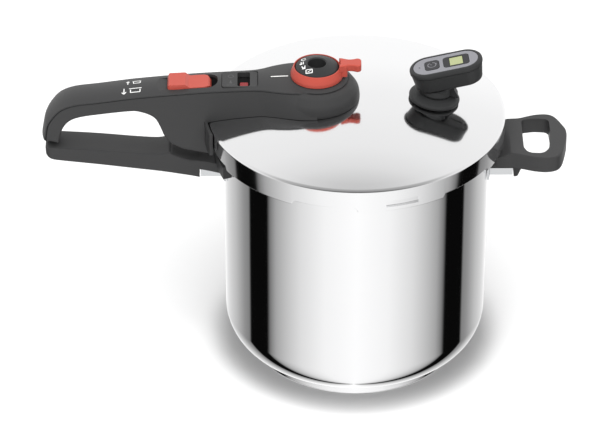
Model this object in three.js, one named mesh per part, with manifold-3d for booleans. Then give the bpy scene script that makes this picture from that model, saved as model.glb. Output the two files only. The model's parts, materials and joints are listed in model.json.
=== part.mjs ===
// Stove-top pressure cooker with a bayonet lid, two long handles, a helper handle,
// a pressure selector and a clip-on timer.
// Millimetres, +Z up. Origin: the pot's axis on the floor. The long handles point to -X.
import * as THREE from "three";
import { mergeVertices } from "three/addons/utils/BufferGeometryUtils.js";
import Module from "manifold-3d";

const wasm = await Module();
wasm.setup();

// ---------- driving dimensions ----------
const GAP = 0.3; // clearance between pieces that touch
const POT_R = 112; // outside of the vessel's wall
const WALL = 1.2; // sheet of the vessel and the lid
const CORNER_R = 33; // bend between floor and wall
const BASE_H = 6; // height of the heat-spreading base
const BASE_R = 90;
const BASE_SHEET = 0.8;
const COLLAR_R = 125.5; // outside of the lid's collar
const POT_H = 230; // lid's edge above the floor
const RIM_Z = 230; // the same edge in the drawing of the lid, the handles and their fittings
const DOME_RISE = 16; // lid's centre above its edge
const COLLAR_H = 19.6;
const STEP_H = 3.6; // how much shallower the collar is between its claws
const LUGS = 6; // bayonet lugs
const CLAW_DEG = 33.2; // width of a full-depth stretch of the collar
const FIRST_CLAW_DEG = -73.5; // middle of the claw with the gasket slot
const LUG_DEG = 24;
const LUG_R = 121.5;
const FLANGE_R = 116.5;
const FLANGE_Z = RIM_Z - 11.2; // top of the vessel's rim

const HANDLE_REACH = 265.5; // end of the lid handle from the pot's axis
const HANDLE_W = 15.5; // half-width of the lid handle at its top edge
const CROWN = 2; // how far the handle's top bulges above its edges
const SELECTOR_X = -33.5;
const NOSE_R = 36;
const NOSE_TOP = 264.8;
const SAFETY_X = -66;
const INDICATOR_X = -94.5;
const INDICATOR_Y = -2;
const HANDLE_SCREW_X = -107;
const BUTTON_X0 = -158.5;
const BUTTON_X1 = -122.5;
const BUTTON_W = 10; // half-width of the lock button
const POCKET_W = BUTTON_W + 2.5; // half-width of the pocket for the lock
const SLOT_END_X = -116.5;
const FLAG_TOP = 257.8;

const HELPER_TOP = 204.5;
const HELPER_T = 13.8;
const BRACKET_Z = 173.9; // underside of the handle brackets
const BRACKET_W = 13.6; // half-width of the brackets' blocks
const STRAP_W = 9; // half-width of what reaches into the handles
const PLATE_DEG = 11; // half-width of the plates welded to the pot
const WING_R = POT_R + 8; // outside of the handles' wings along the pot
const WING_TOP = 200.4;
const LONG_WING_DEG = 20.5;
const HELPER_WING_DEG = 14;
const SKIRT_W = 14; // half-width of the helper handle's skirt
const CHEEK_R = COLLAR_R + 3.6; // outside of the lid handle's cheeks along the collar
const CHEEK_LOW = 210;
const CHEEK_DEG = 17;

const TIMER_X = 65; // foot of the timer
const TIMER_L = 62;
const TIMER_W = 32;
const TIMER_H = 19.5;
const TIMER_TILT = 11.5; // display end up, degrees
const TIMER_YAW = 3;
const TIMER_SEAT = [77.88235, 0.20347, 258.09147]; // middle of its underside

const SIDES = 36; // facets of the large turned pieces
const MIDDLE = 20; // facets of the selector and the timer foot
const FINE = 12; // facets of the small ones

// ---------- derived heights ----------
const domeZ = (r) => RIM_Z + DOME_RISE * (1 - (r / COLLAR_R) ** 2);
const DEG = Math.PI / 180;
const FOOT_TILT = Math.atan((2 * DOME_RISE * TIMER_X) / COLLAR_R ** 2) / DEG;
const WALL_TOP = FLANGE_Z + POT_H - RIM_Z;

// Underside of a flange of radius r that stands on the lid, and top of a nut of corner radius r below it.
const onLid = (x, r) => domeZ(Math.abs(x) - r) + GAP;
const underLid = (x, r) => domeZ(Math.abs(x) + r) - WALL - GAP;

// The handles' free length stretches with their reach; sections are drawn for a reach of 265.5.
const GRIP_START = 170;
const STRETCH = (HANDLE_REACH - GRIP_START) / (265.5 - GRIP_START);
const along = (x) => (x < -GRIP_START ? (x + GRIP_START) * STRETCH - GRIP_START : x);

// ---------- materials ----------
const finish = (colour, roughness, metalness) => {
  return new THREE.MeshStandardMaterial({ color: colour, roughness, metalness });
};
const POLISHED = finish(0xd9dadb, 0.12, 1);
const SATIN = finish(0xd6d7d8, 0.3, 1);
const STEEL = finish(0xb9bbbd, 0.35, 1);
const ALUMINIUM = finish(0xb4b6b8, 0.45, 1);
const CHARCOAL = finish(0x4f4f50, 0.62, 0);
const DARK = finish(0x38393a, 0.5, 0);
const GLOSS = finish(0x1c1c1e, 0.18, 0);
const RED = finish(0xd65a48, 0.45, 0);
const RUBBER = finish(0x8d8f90, 0.75, 0);
const GREY = finish(0x96969c, 0.5, 0);
const LCD = finish(0xc3cd96, 0.25, 0);
const BOARD = finish(0x2f6b3e, 0.6, 0);
const BRASS = finish(0xb9974e, 0.35, 1);

// ---------- solids ----------
function toSolid(geometry) {
  const bare = geometry.index ? geometry.toNonIndexed() : geometry.clone();
  const plain = new THREE.BufferGeometry();
  plain.setAttribute("position", bare.getAttribute("position"));
  const merged = mergeVertices(plain, 1e-4);
  const kept = [];
  const index = merged.index.array;
  for (let i = 0; i < index.length; i += 3) {
    const [a, b, c] = [index[i], index[i + 1], index[i + 2]];
    if (a !== b && b !== c && c !== a) kept.push(a, b, c);
  }
  const make = (triVerts) => new wasm.Manifold(new wasm.Mesh({
    numProp: 3,
    vertProperties: merged.attributes.position.array,
    triVerts: new Uint32Array(triVerts),
  }));
  const solid = make(kept);
  return solid.volume() < 0 ? make(kept.reverse()) : solid;
}

function toGeometry(solid) {
  const mesh = solid.getMesh();
  const geometry = new THREE.BufferGeometry();
  const position = new Float32Array(mesh.numVert * 3);
  for (let i = 0; i < mesh.numVert; i++) {
    for (let k = 0; k < 3; k++) position[3 * i + k] = mesh.vertProperties[i * mesh.numProp + k];
  }
  geometry.setAttribute("position", new THREE.BufferAttribute(position, 3));
  geometry.setIndex(new THREE.BufferAttribute(mesh.triVerts, 1));
  geometry.computeVertexNormals();
  return geometry;
}

const join = (first, ...rest) => rest.reduce((sum, next) => sum.add(next), first);
const cut = (first, ...rest) => rest.reduce((sum, next) => sum.subtract(next), first);

// A turned piece: points are [radius, z]; the axis stands at (x, y).
function turned(points, sides = FINE, x = 0, y = 0) {
  const closed = points[0][0] === 0 ? points : [...points, points[0]];
  const profile = closed.map(([r, z]) => new THREE.Vector2(r, z));
  const geometry = new THREE.LatheGeometry(profile, sides);
  return toSolid(geometry.rotateX(Math.PI / 2).translate(x, y, 0));
}

const rod = (r, z0, z1, x = 0, y = 0, sides = FINE) => {
  return turned([[0, z0], [r, z0], [r, z1], [0, z1]], sides, x, y);
};

function box(x0, x1, y0, y1, z0, z1) {
  const geometry = new THREE.BoxGeometry(x1 - x0, y1 - y0, z1 - z0);
  return toSolid(geometry.translate((x0 + x1) / 2, (y0 + y1) / 2, (z0 + z1) / 2));
}

// A plan outline raised from z0 to z1.
function raised(shape, z0, z1, curveSegments = 4) {
  const options = { depth: z1 - z0, bevelEnabled: false, curveSegments };
  return toSolid(new THREE.ExtrudeGeometry(shape, options).translate(0, 0, z0));
}

// A side outline in the XZ plane, spread over the width y0 to y1.
function sideways(points, y0, y1) {
  const shape = new THREE.Shape(points.map(([x, z]) => new THREE.Vector2(x, z)));
  const geometry = new THREE.ExtrudeGeometry(shape, { depth: y1 - y0, bevelEnabled: false });
  return toSolid(geometry.rotateX(Math.PI / 2).translate(0, y1, 0));
}

// A stretch of a ring, its middle at `middle` degrees from +X.
function sector(rIn, rOut, middle, halfDeg, z0, z1, curveSegments = 3) {
  const [a0, a1] = [(middle - halfDeg) * DEG, (middle + halfDeg) * DEG];
  const shape = new THREE.Shape();
  shape.absarc(0, 0, rOut, a0, a1, false);
  shape.absarc(0, 0, rIn, a1, a0, true);
  return raised(shape, z0, z1, curveSegments);
}

function roundedRect(x0, x1, y0, y1, r) {
  const shape = new THREE.Shape();
  shape.absarc(x1 - r, y1 - r, r, 0, Math.PI / 2, false);
  shape.absarc(x0 + r, y1 - r, r, Math.PI / 2, Math.PI, false);
  shape.absarc(x0 + r, y0 + r, r, Math.PI, 1.5 * Math.PI, false);
  shape.absarc(x1 - r, y0 + r, r, 1.5 * Math.PI, 2 * Math.PI, false);
  return shape;
}

const hexRod = (corner, z0, z1, x = 0, y = 0) => rod(corner, z0, z1, x, y, 6);

// A closed skin over a row of rings that all have the same number of points.
function skinned(rings) {
  const count = rings[0].length;
  const vertices = rings.flat();
  const faces = [];
  for (let i = 0; i + 1 < rings.length; i++) {
    for (let k = 0; k < count; k++) {
      const [a, b] = [i * count + k, i * count + ((k + 1) % count)];
      faces.push(a, b, b + count, a, b + count, a + count);
    }
  }
  for (const [start, flip] of [[0, false], [(rings.length - 1) * count, true]]) {
    for (let k = 1; k + 1 < count; k++) {
      faces.push(start, ...(flip ? [start + k, start + k + 1] : [start + k + 1, start + k]));
    }
  }
  const geometry = new THREE.BufferGeometry();
  geometry.setAttribute("position", new THREE.Float32BufferAttribute(vertices.flat(), 3));
  geometry.setIndex(faces);
  return toSolid(geometry);
}

// The outline across a handle at x: zb underside, zt top edge, wt and wb half-widths up and down.
function handleRing([x, zb, zt, wt, wb = wt], crown = CROWN) {
  const r = Math.min(3.5, (zt - zb) / 3);
  const half = [
    [wb - r, zb],
    [wb - 0.3 * r, zb + 0.3 * r],
    [wb, zb + r],
    [wt, zt - 0.3 * r],
    [wt - 0.8, zt + 0.15 * crown],
    [0.62 * wt, zt + 0.75 * crown],
  ];
  const left = half.map(([y, z]) => [x, -y, z]).reverse();
  const right = half.map(([y, z]) => [x, y, z]);
  return [...right, [x, 0, zt + crown], ...left];
}

// A wound wire spring along Z.
class Helix extends THREE.Curve {
  constructor(r, z0, z1, turns) {
    super();
    Object.assign(this, { r, z0, z1, turns });
  }
  getPoint(t, target = new THREE.Vector3()) {
    const angle = 2 * Math.PI * this.turns * t;
    const z = this.z0 + (this.z1 - this.z0) * t;
    return target.set(this.r * Math.cos(angle), this.r * Math.sin(angle), z);
  }
}

function spring(r, wire, z0, z1, turns, x) {
  const section = new THREE.Shape();
  section.absarc(0, 0, wire, 0, 2 * Math.PI, false);
  const path = new Helix(r, z0 + wire, z1 - wire, turns);
  const options = { steps: turns * 9, extrudePath: path, curveSegments: 2, bevelEnabled: false };
  return toSolid(new THREE.ExtrudeGeometry(section, options).translate(x, 0, 0));
}

// ---------- assembly ----------
const object = new THREE.Group();
const upper = new THREE.Group(); // the lid, the handles and all that they carry
upper.position.z = POT_H - RIM_Z;
object.add(upper);

function add(name, solid, material, parent = upper) {
  const mesh = new THREE.Mesh(toGeometry(solid), material);
  mesh.name = name;
  parent.add(mesh);
}

// ---------- pot ----------
const clawAngles = Array.from({ length: LUGS }, (_, k) => FIRST_CLAW_DEG + (k * 360) / LUGS);
const gapAngles = clawAngles.map((angle) => angle + 180 / LUGS);

// Quarter bend from the floor (r, low z) up to the wall.
function bend(radius, steps, upwards) {
  const centre = [POT_R - CORNER_R, BASE_H + CORNER_R];
  const points = [];
  for (let i = 0; i <= steps; i++) {
    const t = ((upwards ? i : steps - i) / steps) * (Math.PI / 2);
    points.push([centre[0] + radius * Math.sin(t), centre[1] - radius * Math.cos(t)]);
  }
  return points;
}

function potVessel() {
  const shell = turned([
    [0, BASE_H + WALL],
    ...bend(CORNER_R - WALL, 5, true),
    [POT_R - WALL, WALL_TOP - 2.2],
    [POT_R + 0.8, WALL_TOP],
    [LUG_R, WALL_TOP],
    [LUG_R, WALL_TOP - WALL],
    [POT_R + 1.4, WALL_TOP - WALL],
    [POT_R, WALL_TOP - 3],
    ...bend(CORNER_R, 5, false),
    [0, BASE_H],
  ], SIDES);
  const halfGap = (360 / LUGS - LUG_DEG) / 2;
  const notches = gapAngles.map((angle) => {
    return sector(FLANGE_R, LUG_R + 3, angle, halfGap, WALL_TOP - 4, WALL_TOP + 2);
  });
  return cut(shell, ...notches);
}

function baseCap() {
  const s = BASE_SHEET;
  return turned([
    [0, 0],
    [BASE_R - 2, 0],
    [BASE_R, 2],
    [BASE_R, BASE_H + 1],
    [BASE_R - s, BASE_H + 1],
    [BASE_R - s, 2.3],
    [BASE_R - 2.4, s],
    [0, s],
  ], SIDES);
}

function baseCore() {
  const [r, z] = [BASE_R - BASE_SHEET - GAP, BASE_SHEET + GAP];
  return turned([
    [0, z],
    [r - 1.4, z],
    [r, z + 1.4],
    [r, BASE_H + 0.6],
    [r - 5, BASE_H],
    [POT_R - CORNER_R, BASE_H - GAP],
    [0, BASE_H - GAP],
  ], SIDES);
}

const longPlate = { rIn: POT_R + GAP, rOut: POT_R + 2, half: PLATE_DEG, z0: BRACKET_Z, z1: 192 };
const LONG_SCREW_X = -150;
const STRAP_Z = 181.2;
const STRAP_T = 3;
const ROOT_LOW = 180.7; // underside of the handles above their brackets

function longBracket() {
  const { rIn, rOut, half, z0, z1 } = longPlate;
  const plate = sector(rIn, rOut, 180, half, z0, z1);
  const block = box(-131.8, -POT_R - 0.9, -BRACKET_W, BRACKET_W, BRACKET_Z, ROOT_LOW - GAP);
  const strap = box(-160, -POT_R - 0.9, -STRAP_W, STRAP_W, STRAP_Z, STRAP_Z + STRAP_T);
  const rib = box(-131.8, -POT_R - 0.9, -STRAP_W, STRAP_W, BRACKET_Z, STRAP_Z + 1);
  return cut(join(plate, block, rib, strap), rod(2.5, STRAP_Z - 1, STRAP_Z + 5, LONG_SCREW_X));
}

// x, underside, top edge, half-width up, half-width down
const potGrip = [
  [-262.6, 195.8, 200.6, 8, 8],
  [-261.2, 192.6, 202, 11.5, 11],
  [-257.5, 190.6, 202.6, 13.8, 13],
  [-248, 189.2, 202.4, 14.5, 13.5],
  [-217, 185.2, 200.3, 14.5, 13.5],
  [-190, 181.4, 197.6, 14.5, 13.5],
  [-170, 178.6, 196.2, 14.5, 13.5],
  [-162, 177.2, 197.4, 14.5, 13.5],
  [-157.5, 176.4, 198.6, 14.5, 13.5],
  [-155.5, 176, 195.2, 14.5, 13.5],
  [-141, 173.6, 190.6, 14.5, 13.5],
  [-132.6, 172.1, 190.4, 15, 14],
];
const potRoot = [
  [-133.5, ROOT_LOW, 190.4, 15, 14],
  [-124, ROOT_LOW, 190.4, 17.5, 17],
  [-112, ROOT_LOW, 190.4, 22, 22],
];

function potHandle() {
  const grip = skinned(potGrip.map(([x, ...rest]) => handleRing([along(x), ...rest], 0.9)));
  const root = skinned(potRoot.map((ring) => handleRing(ring, 0.3)));
  const wings = sector(POT_R + 0.4, WING_R, 180, LONG_WING_DEG, 189, WING_TOP);
  const pocketW = STRAP_W + 0.5;
  const strapTop = STRAP_Z + STRAP_T + GAP;
  return cut(
    join(grip, root, wings),
    rod(POT_R + 0.4, 165, 200, 0, 0, SIDES),
    sector(100, longPlate.rOut + GAP, 180, longPlate.half + 0.7, longPlate.z0 - 1, longPlate.z1 + 1),
    box(-132.1, -110, -pocketW, pocketW, 170, strapTop),
    box(-160.4, -130, -pocketW, pocketW, STRAP_Z - GAP, strapTop),
    rod(2.4, 170, 188, LONG_SCREW_X),
    rod(4.6, 170, 178.8, LONG_SCREW_X),
  );
}

// A cross-head screw seen from below: the head is at the bottom.
function screw(x, y, zHead, headR, shaftR, zTip) {
  const head = turned([
    [0, zHead],
    [headR, zHead],
    [headR, zHead + 2.2],
    [shaftR, zHead + 2.2],
    [shaftR, zTip],
    [0, zTip],
  ], 12, x, y);
  const slot = headR * 0.6;
  return cut(
    head,
    box(x - slot, x + slot, y - 0.4, y + 0.4, zHead - 1, zHead + 1),
    box(x - 0.4, x + 0.4, y - slot, y + slot, zHead - 1, zHead + 1),
  );
}

const HELPER_SCREW_X = 124;

function helperBracket() {
  const plate = sector(POT_R + GAP, POT_R + 2, 0, PLATE_DEG, BRACKET_Z, 196);
  const block = box(POT_R + 0.9, 132.4, -BRACKET_W, BRACKET_W, BRACKET_Z, ROOT_LOW - GAP);
  return cut(join(plate, block), rod(2.5, BRACKET_Z - 2, BRACKET_Z + 10, HELPER_SCREW_X));
}

// Plan outline of the helper handle: wide shoulders and cut outer corners.
function helperPlan() {
  const shape = new THREE.Shape();
  const side = [[112, 24], [124, 27.5], [134, 32], [146, 36], [158, 36.5], [169, 30.5], [176.2, 17], [178.5, 8]];
  shape.moveTo(side[0][0], -side[0][1]);
  side.slice(1).forEach(([x, y]) => shape.lineTo(x, -y));
  side.slice().reverse().forEach(([x, y]) => shape.lineTo(x, y));
  return shape;
}

function helperHandle() {
  const options = { depth: HELPER_T - 4, bevelThickness: 2, bevelSize: 2, bevelOffset: -2, bevelSegments: 2 };
  const ring = new THREE.ExtrudeGeometry(helperPlan(), options).translate(0, 0, HELPER_TOP - HELPER_T + 2);
  const skirt = sideways([
    [112, ROOT_LOW],
    [132.7, ROOT_LOW],
    [133.4, 172.2],
    [136.4, 172.6],
    [141, 184],
    [150, 194],
    [112, 194],
  ], -SKIRT_W, SKIRT_W);
  const wings = sector(POT_R + 0.4, WING_R, 0, HELPER_WING_DEG, HELPER_TOP - HELPER_T, 200);
  const slope = sideways([[110, 195], [130, HELPER_TOP + 0.2], [130, 215], [110, 215]], -60, 60);
  const hole = roundedRect(141, 163.5, -25, 25, 8);
  return cut(
    join(toSolid(ring), skirt, wings),
    raised(hole, 170, 215, 5),
    slope,
    rod(POT_R + 0.4, 165, 215, 0, 0, SIDES),
    sector(100, POT_R + 2 + GAP, 0, PLATE_DEG + 0.7, 165, 197),
    rod(2.3, 170, 190, HELPER_SCREW_X),
  );
}

add("pot_vessel", potVessel(), POLISHED, object);
add("base_core", baseCore(), ALUMINIUM, object);
add("base_cap", baseCap(), POLISHED, object);
add("long_bracket", longBracket(), STEEL);
add("pot_handle", potHandle(), CHARCOAL);
add("pot_handle_screw", screw(LONG_SCREW_X, 0, 176.2, 4.2, 2, 187), STEEL);
add("helper_bracket", helperBracket(), STEEL);
add("helper_handle", helperHandle(), CHARCOAL);
add("helper_handle_screw", screw(HELPER_SCREW_X, 0, BRACKET_Z - 2.6, 4.2, 1.9, 189), STEEL);

// ---------- lid ----------
const VALVE_HOLE = 5.4;
const SAFETY_HOLE = 4.3;
const INDICATOR_HOLE = 3.9;
const SCREW_HOLE = 2.7;

function domeLine(rMax, lower, steps, outwards) {
  const points = [];
  for (let i = 0; i <= steps; i++) {
    const r = (rMax * (outwards ? i : steps - i)) / steps;
    points.push([r, domeZ(r) - lower]);
  }
  return points;
}

// Everything that stands inside a turned frame on the lid at the timer's foot.
function onFoot(geometryOrGroup) {
  geometryOrGroup.position.set(TIMER_X, 0, domeZ(TIMER_X));
  geometryOrGroup.rotation.y = FOOT_TILT * DEG;
  return geometryOrGroup;
}

function footMatrix() {
  const frame = onFoot(new THREE.Group());
  frame.updateMatrix();
  return frame.matrix;
}

const moved = (solid, matrix) => solid.transform(matrix.elements);

function lidShell() {
  const claw = 5.7; // how far a claw reaches in under the rim
  const bottom = RIM_Z - COLLAR_H;
  const shell = turned([
    ...domeLine(COLLAR_R - 2.2, 0, 6, true),
    [COLLAR_R - 0.7, RIM_Z + 0.1],
    [COLLAR_R, RIM_Z - 0.5],
    [COLLAR_R, bottom + 0.6],
    [COLLAR_R - 0.6, bottom],
    [COLLAR_R - WALL - claw, bottom],
    [COLLAR_R - WALL - claw, bottom + WALL],
    [COLLAR_R - WALL, bottom + WALL],
    [COLLAR_R - WALL, RIM_Z - 1.8],
    ...domeLine(COLLAR_R - 2.6, WALL, 6, false),
  ], SIDES);
  const notches = gapAngles.flatMap((angle) => {
    const half = 180 / LUGS - CLAW_DEG / 2;
    return [
      sector(110, COLLAR_R + 2, angle, half, bottom - 2, bottom + STEP_H - 1.4, 1),
      sector(110, COLLAR_R + 2, angle, half - 0.7, bottom, bottom + STEP_H, 1),
    ];
  });
  const slot = sector(COLLAR_R - 3, COLLAR_R + 2, FIRST_CLAW_DEG, 6.4, RIM_Z - 15.8, RIM_Z - 9.8, 1);
  return cut(
    shell,
    ...notches,
    slot,
    rod(VALVE_HOLE, 230, 260, SELECTOR_X),
    rod(SAFETY_HOLE, 230, 260, SAFETY_X),
    rod(INDICATOR_HOLE, 220, 260, INDICATOR_X, INDICATOR_Y),
    rod(SCREW_HOLE, 220, 260, HANDLE_SCREW_X),
    moved(rod(SCREW_HOLE, -8, 8), footMatrix()),
  );
}

// Rubber seal with a lip that the steam presses on.
function lidGasket() {
  const r = COLLAR_R - WALL - 0.5;
  const low = FLANGE_Z + GAP;
  return turned([
    [FLANGE_R - 4, low],
    [r, low + 0.6],
    [r, RIM_Z - 2.2],
    [r - 8, RIM_Z - 0.6],
    [r - 8.4, RIM_Z - 2.4],
    [r - 3.4, RIM_Z - 3.6],
    [r - 3.4, low + 3.8],
    [FLANGE_R - 4, low + 1.6],
  ], SIDES);
}

// x, underside, top edge, half-width up, half-width down
const lidGrip = [
  [-265.5, 206, 209.4, 8, 8],
  [-264.6, 205, 212.2, 11.5, 11.5],
  [-261.4, 204.6, 221.4, 13.8, 13.6],
  [-257.4, 205.2, 229.8, 15, 14.6],
  [-253, 206.4, 237, HANDLE_W, 15],
  [-250.6, 208.8, 240, HANDLE_W, 15],
  [-248.6, 217.6, 241.8, HANDLE_W, 15],
  [-245.9, 224, 243.6, HANDLE_W, 15],
  [-240.6, 229.9, 245.8, HANDLE_W, 15],
  [-232, 233.4, 247.2, HANDLE_W, 15],
  [-215, 236.2, 249.5, HANDLE_W, 15],
  [-190, 239.1, 253.1, HANDLE_W, 15],
  [-181.7, 238.5, 254, HANDLE_W, 15.2],
  [-173.4, 235, 255, HANDLE_W, 15.5],
  [-169.3, 231.5, 255.4, HANDLE_W, 15.7],
  [-165.3, 224.6, 255.8, HANDLE_W, 16],
  [-162.9, 216.6, 256, HANDLE_W, 16.2],
  [-158.8, 210.6, 256.4, HANDLE_W, 16.5],
  [-149, 203.5, 257.2, HANDLE_W, 17],
  [-140.5, 201, 258, HANDLE_W, 17.5],
  [-131, 200.5, 258.7, HANDLE_W, 18.5],
  [-120, 200.5, 259.4, HANDLE_W, 21],
  [-106, 216, 260.1, HANDLE_W, 23.5],
  [-90, 226, 260.6, 15.8, 25],
  [-80, 230, 261.4, 17, 26],
  [-70, 232, 262.2, 19.5, 28],
  [-58, 234, 262.6, 23, 32],
  [-46, 236, 262.8, 24.5, 35],
  [-33.5, 236, 262.8, 24.5, 36],
];

// The line along the handle where its cover meets its body.
const seam = [
  [-269, 207],
  [-264.4, 210.8],
  [-261, 220.2],
  [-257.2, 228.6],
  [-252.8, 235.8],
  [-248.5, 240.4],
  [-240, 244.6],
  [-214.8, 248.4],
  [-189.7, 252],
  [-164.6, 254.8],
  [-131.2, 257.6],
  [-106.1, 259],
  [-89.4, 259.5],
  [-76, 260.4],
  [-60, 260.8],
  [10, 260.8],
].map(([x, z]) => [along(x), z]);

function seamHeight(x) {
  const i = seam.findIndex(([sx]) => sx > x);
  const [[xa, za], [xb, zb]] = [seam[i - 1], seam[i]];
  return za + ((zb - za) * (x - xa)) / (xb - xa);
}

const aboveSeam = (drop) => sideways([
  ...seam.map(([x, z]) => [x + drop * 0.6, z - drop]),
  [10, 300],
  [-275, 300],
], -60, 60);

function handleOuter() {
  const arm = skinned(lidGrip.map(([x, ...rest]) => handleRing([along(x), ...rest])));
  const nose = turned([
    [0, 236],
    [NOSE_R - 2, 236],
    [NOSE_R, 243],
    [NOSE_R + 0.2, 248],
    [NOSE_R - 0.8, 253],
    [NOSE_R - 3.6, 257.6],
    [NOSE_R - 7.6, 261.4],
    [NOSE_R - 11.4, 263.8],
    [NOSE_R - 13, NOSE_TOP],
    [0, NOSE_TOP],
  ], MIDDLE, SELECTOR_X);
  const lidRoom = turned([
    ...domeLine(COLLAR_R + 0.8, -GAP, 6, true),
    [COLLAR_R + 0.8, 190],
    [0, 190],
  ], SIDES);
  const cheeks = sector(COLLAR_R + 0.8, CHEEK_R, 180, CHEEK_DEG, CHEEK_LOW, RIM_Z + 1, 5);
  return cut(join(arm, nose, cheeks), lidRoom);
}

const POCKET_FLOOR = 246;
const POCKET_X0 = -171; // ends of the pocket for the lock, the indicator and the safety valve
const POCKET_X1 = -50;
const WINDOW = { x0: -113, x1: -83, w: POCKET_W - 0.5 };
const NOSE_FLOOR = 250;
const coverScrewX = [-226, -182].map(along);
const CUT_TOP = 270;

function handleBody(outer) {
  const w = POCKET_W;
  return cut(
    outer,
    aboveSeam(GAP),
    box(POCKET_X0, POCKET_X1, -w, w, POCKET_FLOOR, CUT_TOP),
    box(-154, -130.5, -w, w, 195, POCKET_FLOOR + 1),
    box(-137, -118, -7, 7, 195, POCKET_FLOOR + 1),
    rod(19.5, NOSE_FLOOR, CUT_TOP, SELECTOR_X),
    rod(10.6, 238, CUT_TOP, SELECTOR_X),
    rod(7.2, 236, CUT_TOP, SAFETY_X),
    rod(6.6, 230, CUT_TOP, INDICATOR_X, INDICATOR_Y),
    rod(2.5, 225, 244.4, HANDLE_SCREW_X),
    ...coverScrewX.flatMap((x) => [
      rod(1.9, 230, CUT_TOP, x),
      rod(3.6, 225, seamHeight(x) - 9, x),
    ]),
  );
}

const slotShape = (margin) => {
  const w = BUTTON_W + margin;
  return roundedRect(BUTTON_X0 - margin, SLOT_END_X, -w, w, 7);
};

function handleCover(outer) {
  const scoop = sideways([[-178, 259.5], [-158.6, 256.4], [-158.6, CUT_TOP], [-178, CUT_TOP]], -9.6, 9.6);
  return cut(
    outer.intersect(aboveSeam(0)),
    raised(slotShape(0.4), 250, CUT_TOP, 4),
    scoop,
    box(WINDOW.x0 - GAP, WINDOW.x1 + GAP, -WINDOW.w - GAP, WINDOW.w + GAP, 250, CUT_TOP),
    rod(12.3, 250, CUT_TOP, SELECTOR_X, 0, MIDDLE),
    ...coverScrewX.map((x) => rod(1.6, 240, seamHeight(x) + 2.2, x)),
  );
}

function windowPanel() {
  const { x0, x1, w } = WINDOW;
  const frame = raised(roundedRect(x0, x1, -w, w, 2.5), 257, 261.7, 4);
  const foot = raised(roundedRect(x0 - 2, x1 + 2, -w - 0.2, w + 0.2, 2), 256.6, 258.3, 2);
  const slope = sideways([[-120, 257.3], [-75, 259.1], [-75, 240], [-120, 240]], -20, 20);
  const flange = foot.intersect(slope);
  return cut(join(frame, flange), raised(roundedRect(-100, -89.5, -10.8, 10.8, 1.5), 250, CUT_TOP, 3));
}

add("lid_shell", lidShell(), SATIN);
add("lid_gasket", lidGasket(), RUBBER);
const outer = handleOuter();
add("handle_body", handleBody(outer), CHARCOAL);
add("handle_cover", handleCover(outer), CHARCOAL);
add("window_panel", windowPanel(), DARK);
add("handle_screw", screw(HANDLE_SCREW_X, 0, 228.6, 4.2, 2.2, 243.8), STEEL);
coverScrewX.forEach((x, i) => {
  const z = seamHeight(x);
  add(`cover_screw_${i + 1}`, screw(x, 0, z - 11.3, 3.2, 1.5, z + 2), STEEL);
});

// ---------- valves in the lid ----------
const lifted = (points, z) => points.map(([r, dz]) => [r, z + dz]);
const VALVE_Z = onLid(SELECTOR_X, 10);
const PLUNGER_Z = VALVE_Z + 5.1 + GAP;
const SAFETY_Z = onLid(SAFETY_X, 6.6);
const CAP_LOW = NOSE_TOP - 2.3; // inside the selector cap, where the valve spring ends

function valveBody() {
  return turned(lifted([
    [2.4, -9.9],
    [2.4, 5.1],
    [6.6, 5.1],
    [6.6, 9.1],
    [8, 9.1],
    [8, 3],
    [10, 3],
    [10, 0],
    [5, 0],
    [5, -9.9],
  ], VALVE_Z), FINE, SELECTOR_X);
}

// A hexagon nut below the lid: corner radius, hole, height.
function nut(corner, hole, height, x, y = 0) {
  const top = underLid(x, corner);
  return cut(hexRod(corner, top - height, top, x, y), rod(hole, top - height - 1, top + 1, x, y));
}

function valveNut() {
  const low = underLid(SELECTOR_X, 9) - 4.6;
  const collar = cut(rod(10.9, low, low + 1.4, SELECTOR_X), rod(5.3, low - 1, low + 2, SELECTOR_X));
  return join(nut(9, 5.3, 4.6, SELECTOR_X), collar);
}

function steamGuard() {
  const low = underLid(SELECTOR_X, 9) - 13.2;
  const cup = turned(lifted([
    [0, 0],
    [10.5, 0],
    [12, 1.5],
    [12, 10.2],
    [11.2, 10.2],
    [11.2, 1.9],
    [10.2, 0.8],
    [0, 0.8],
  ], low), FINE, SELECTOR_X);
  const holes = Array.from({ length: 6 }, (_, k) => {
    const a = (k * Math.PI) / 3;
    return rod(1.1, low - 3, low + 1.4, SELECTOR_X + 7 * Math.cos(a), 7 * Math.sin(a), 8);
  });
  return cut(cup, ...holes);
}

function valvePlunger() {
  return turned(lifted([
    [0, -10.3],
    [1, -10.3],
    [2, -8.9],
    [2, 0],
    [6, 0],
    [6, 1.7],
    [2.8, 1.7],
    [2.4, 6.3],
    [1.4, 7.1],
    [0, 7.1],
  ], PLUNGER_Z), FINE, SELECTOR_X);
}

function safetyBody() {
  return turned(lifted([
    [2, -8.5],
    [2, 3.5],
    [3.9, 5.1],
    [3.9, 13.3],
    [1.6, 13.3],
    [1.6, 14.7],
    [5.4, 14.7],
    [5.4, 2.5],
    [6.6, 2.5],
    [6.6, 0],
    [3.9, 0],
    [3.9, -8.5],
  ], SAFETY_Z), FINE, SAFETY_X);
}

function safetyBall() {
  const ball = new THREE.SphereGeometry(2.9, 12, 8).rotateX(Math.PI / 2);
  return toSolid(ball.translate(SAFETY_X, 0, SAFETY_Z + 6.9));
}

const indicator = (points) => turned(points, 24, INDICATOR_X, INDICATOR_Y);
const indicatorBush = () => indicator(lifted([
  [2.3, -8.4],
  [2.3, 1.9],
  [6, 1.9],
  [6, 0],
  [3.5, 0],
  [3.5, -8.4],
], onLid(INDICATOR_X, 6)));
const pressurePin = () => indicator([
  [0, 221.5],
  [3.2, 221.5],
  [3.2, 222.8],
  [2, 222.8],
  [2, 243.4],
  [0, 243.4],
]);
const pinSeal = () => indicator([[2.3, 223.1], [3.4, 223.1], [3.4, 224.3], [2.3, 224.3]]);

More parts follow.
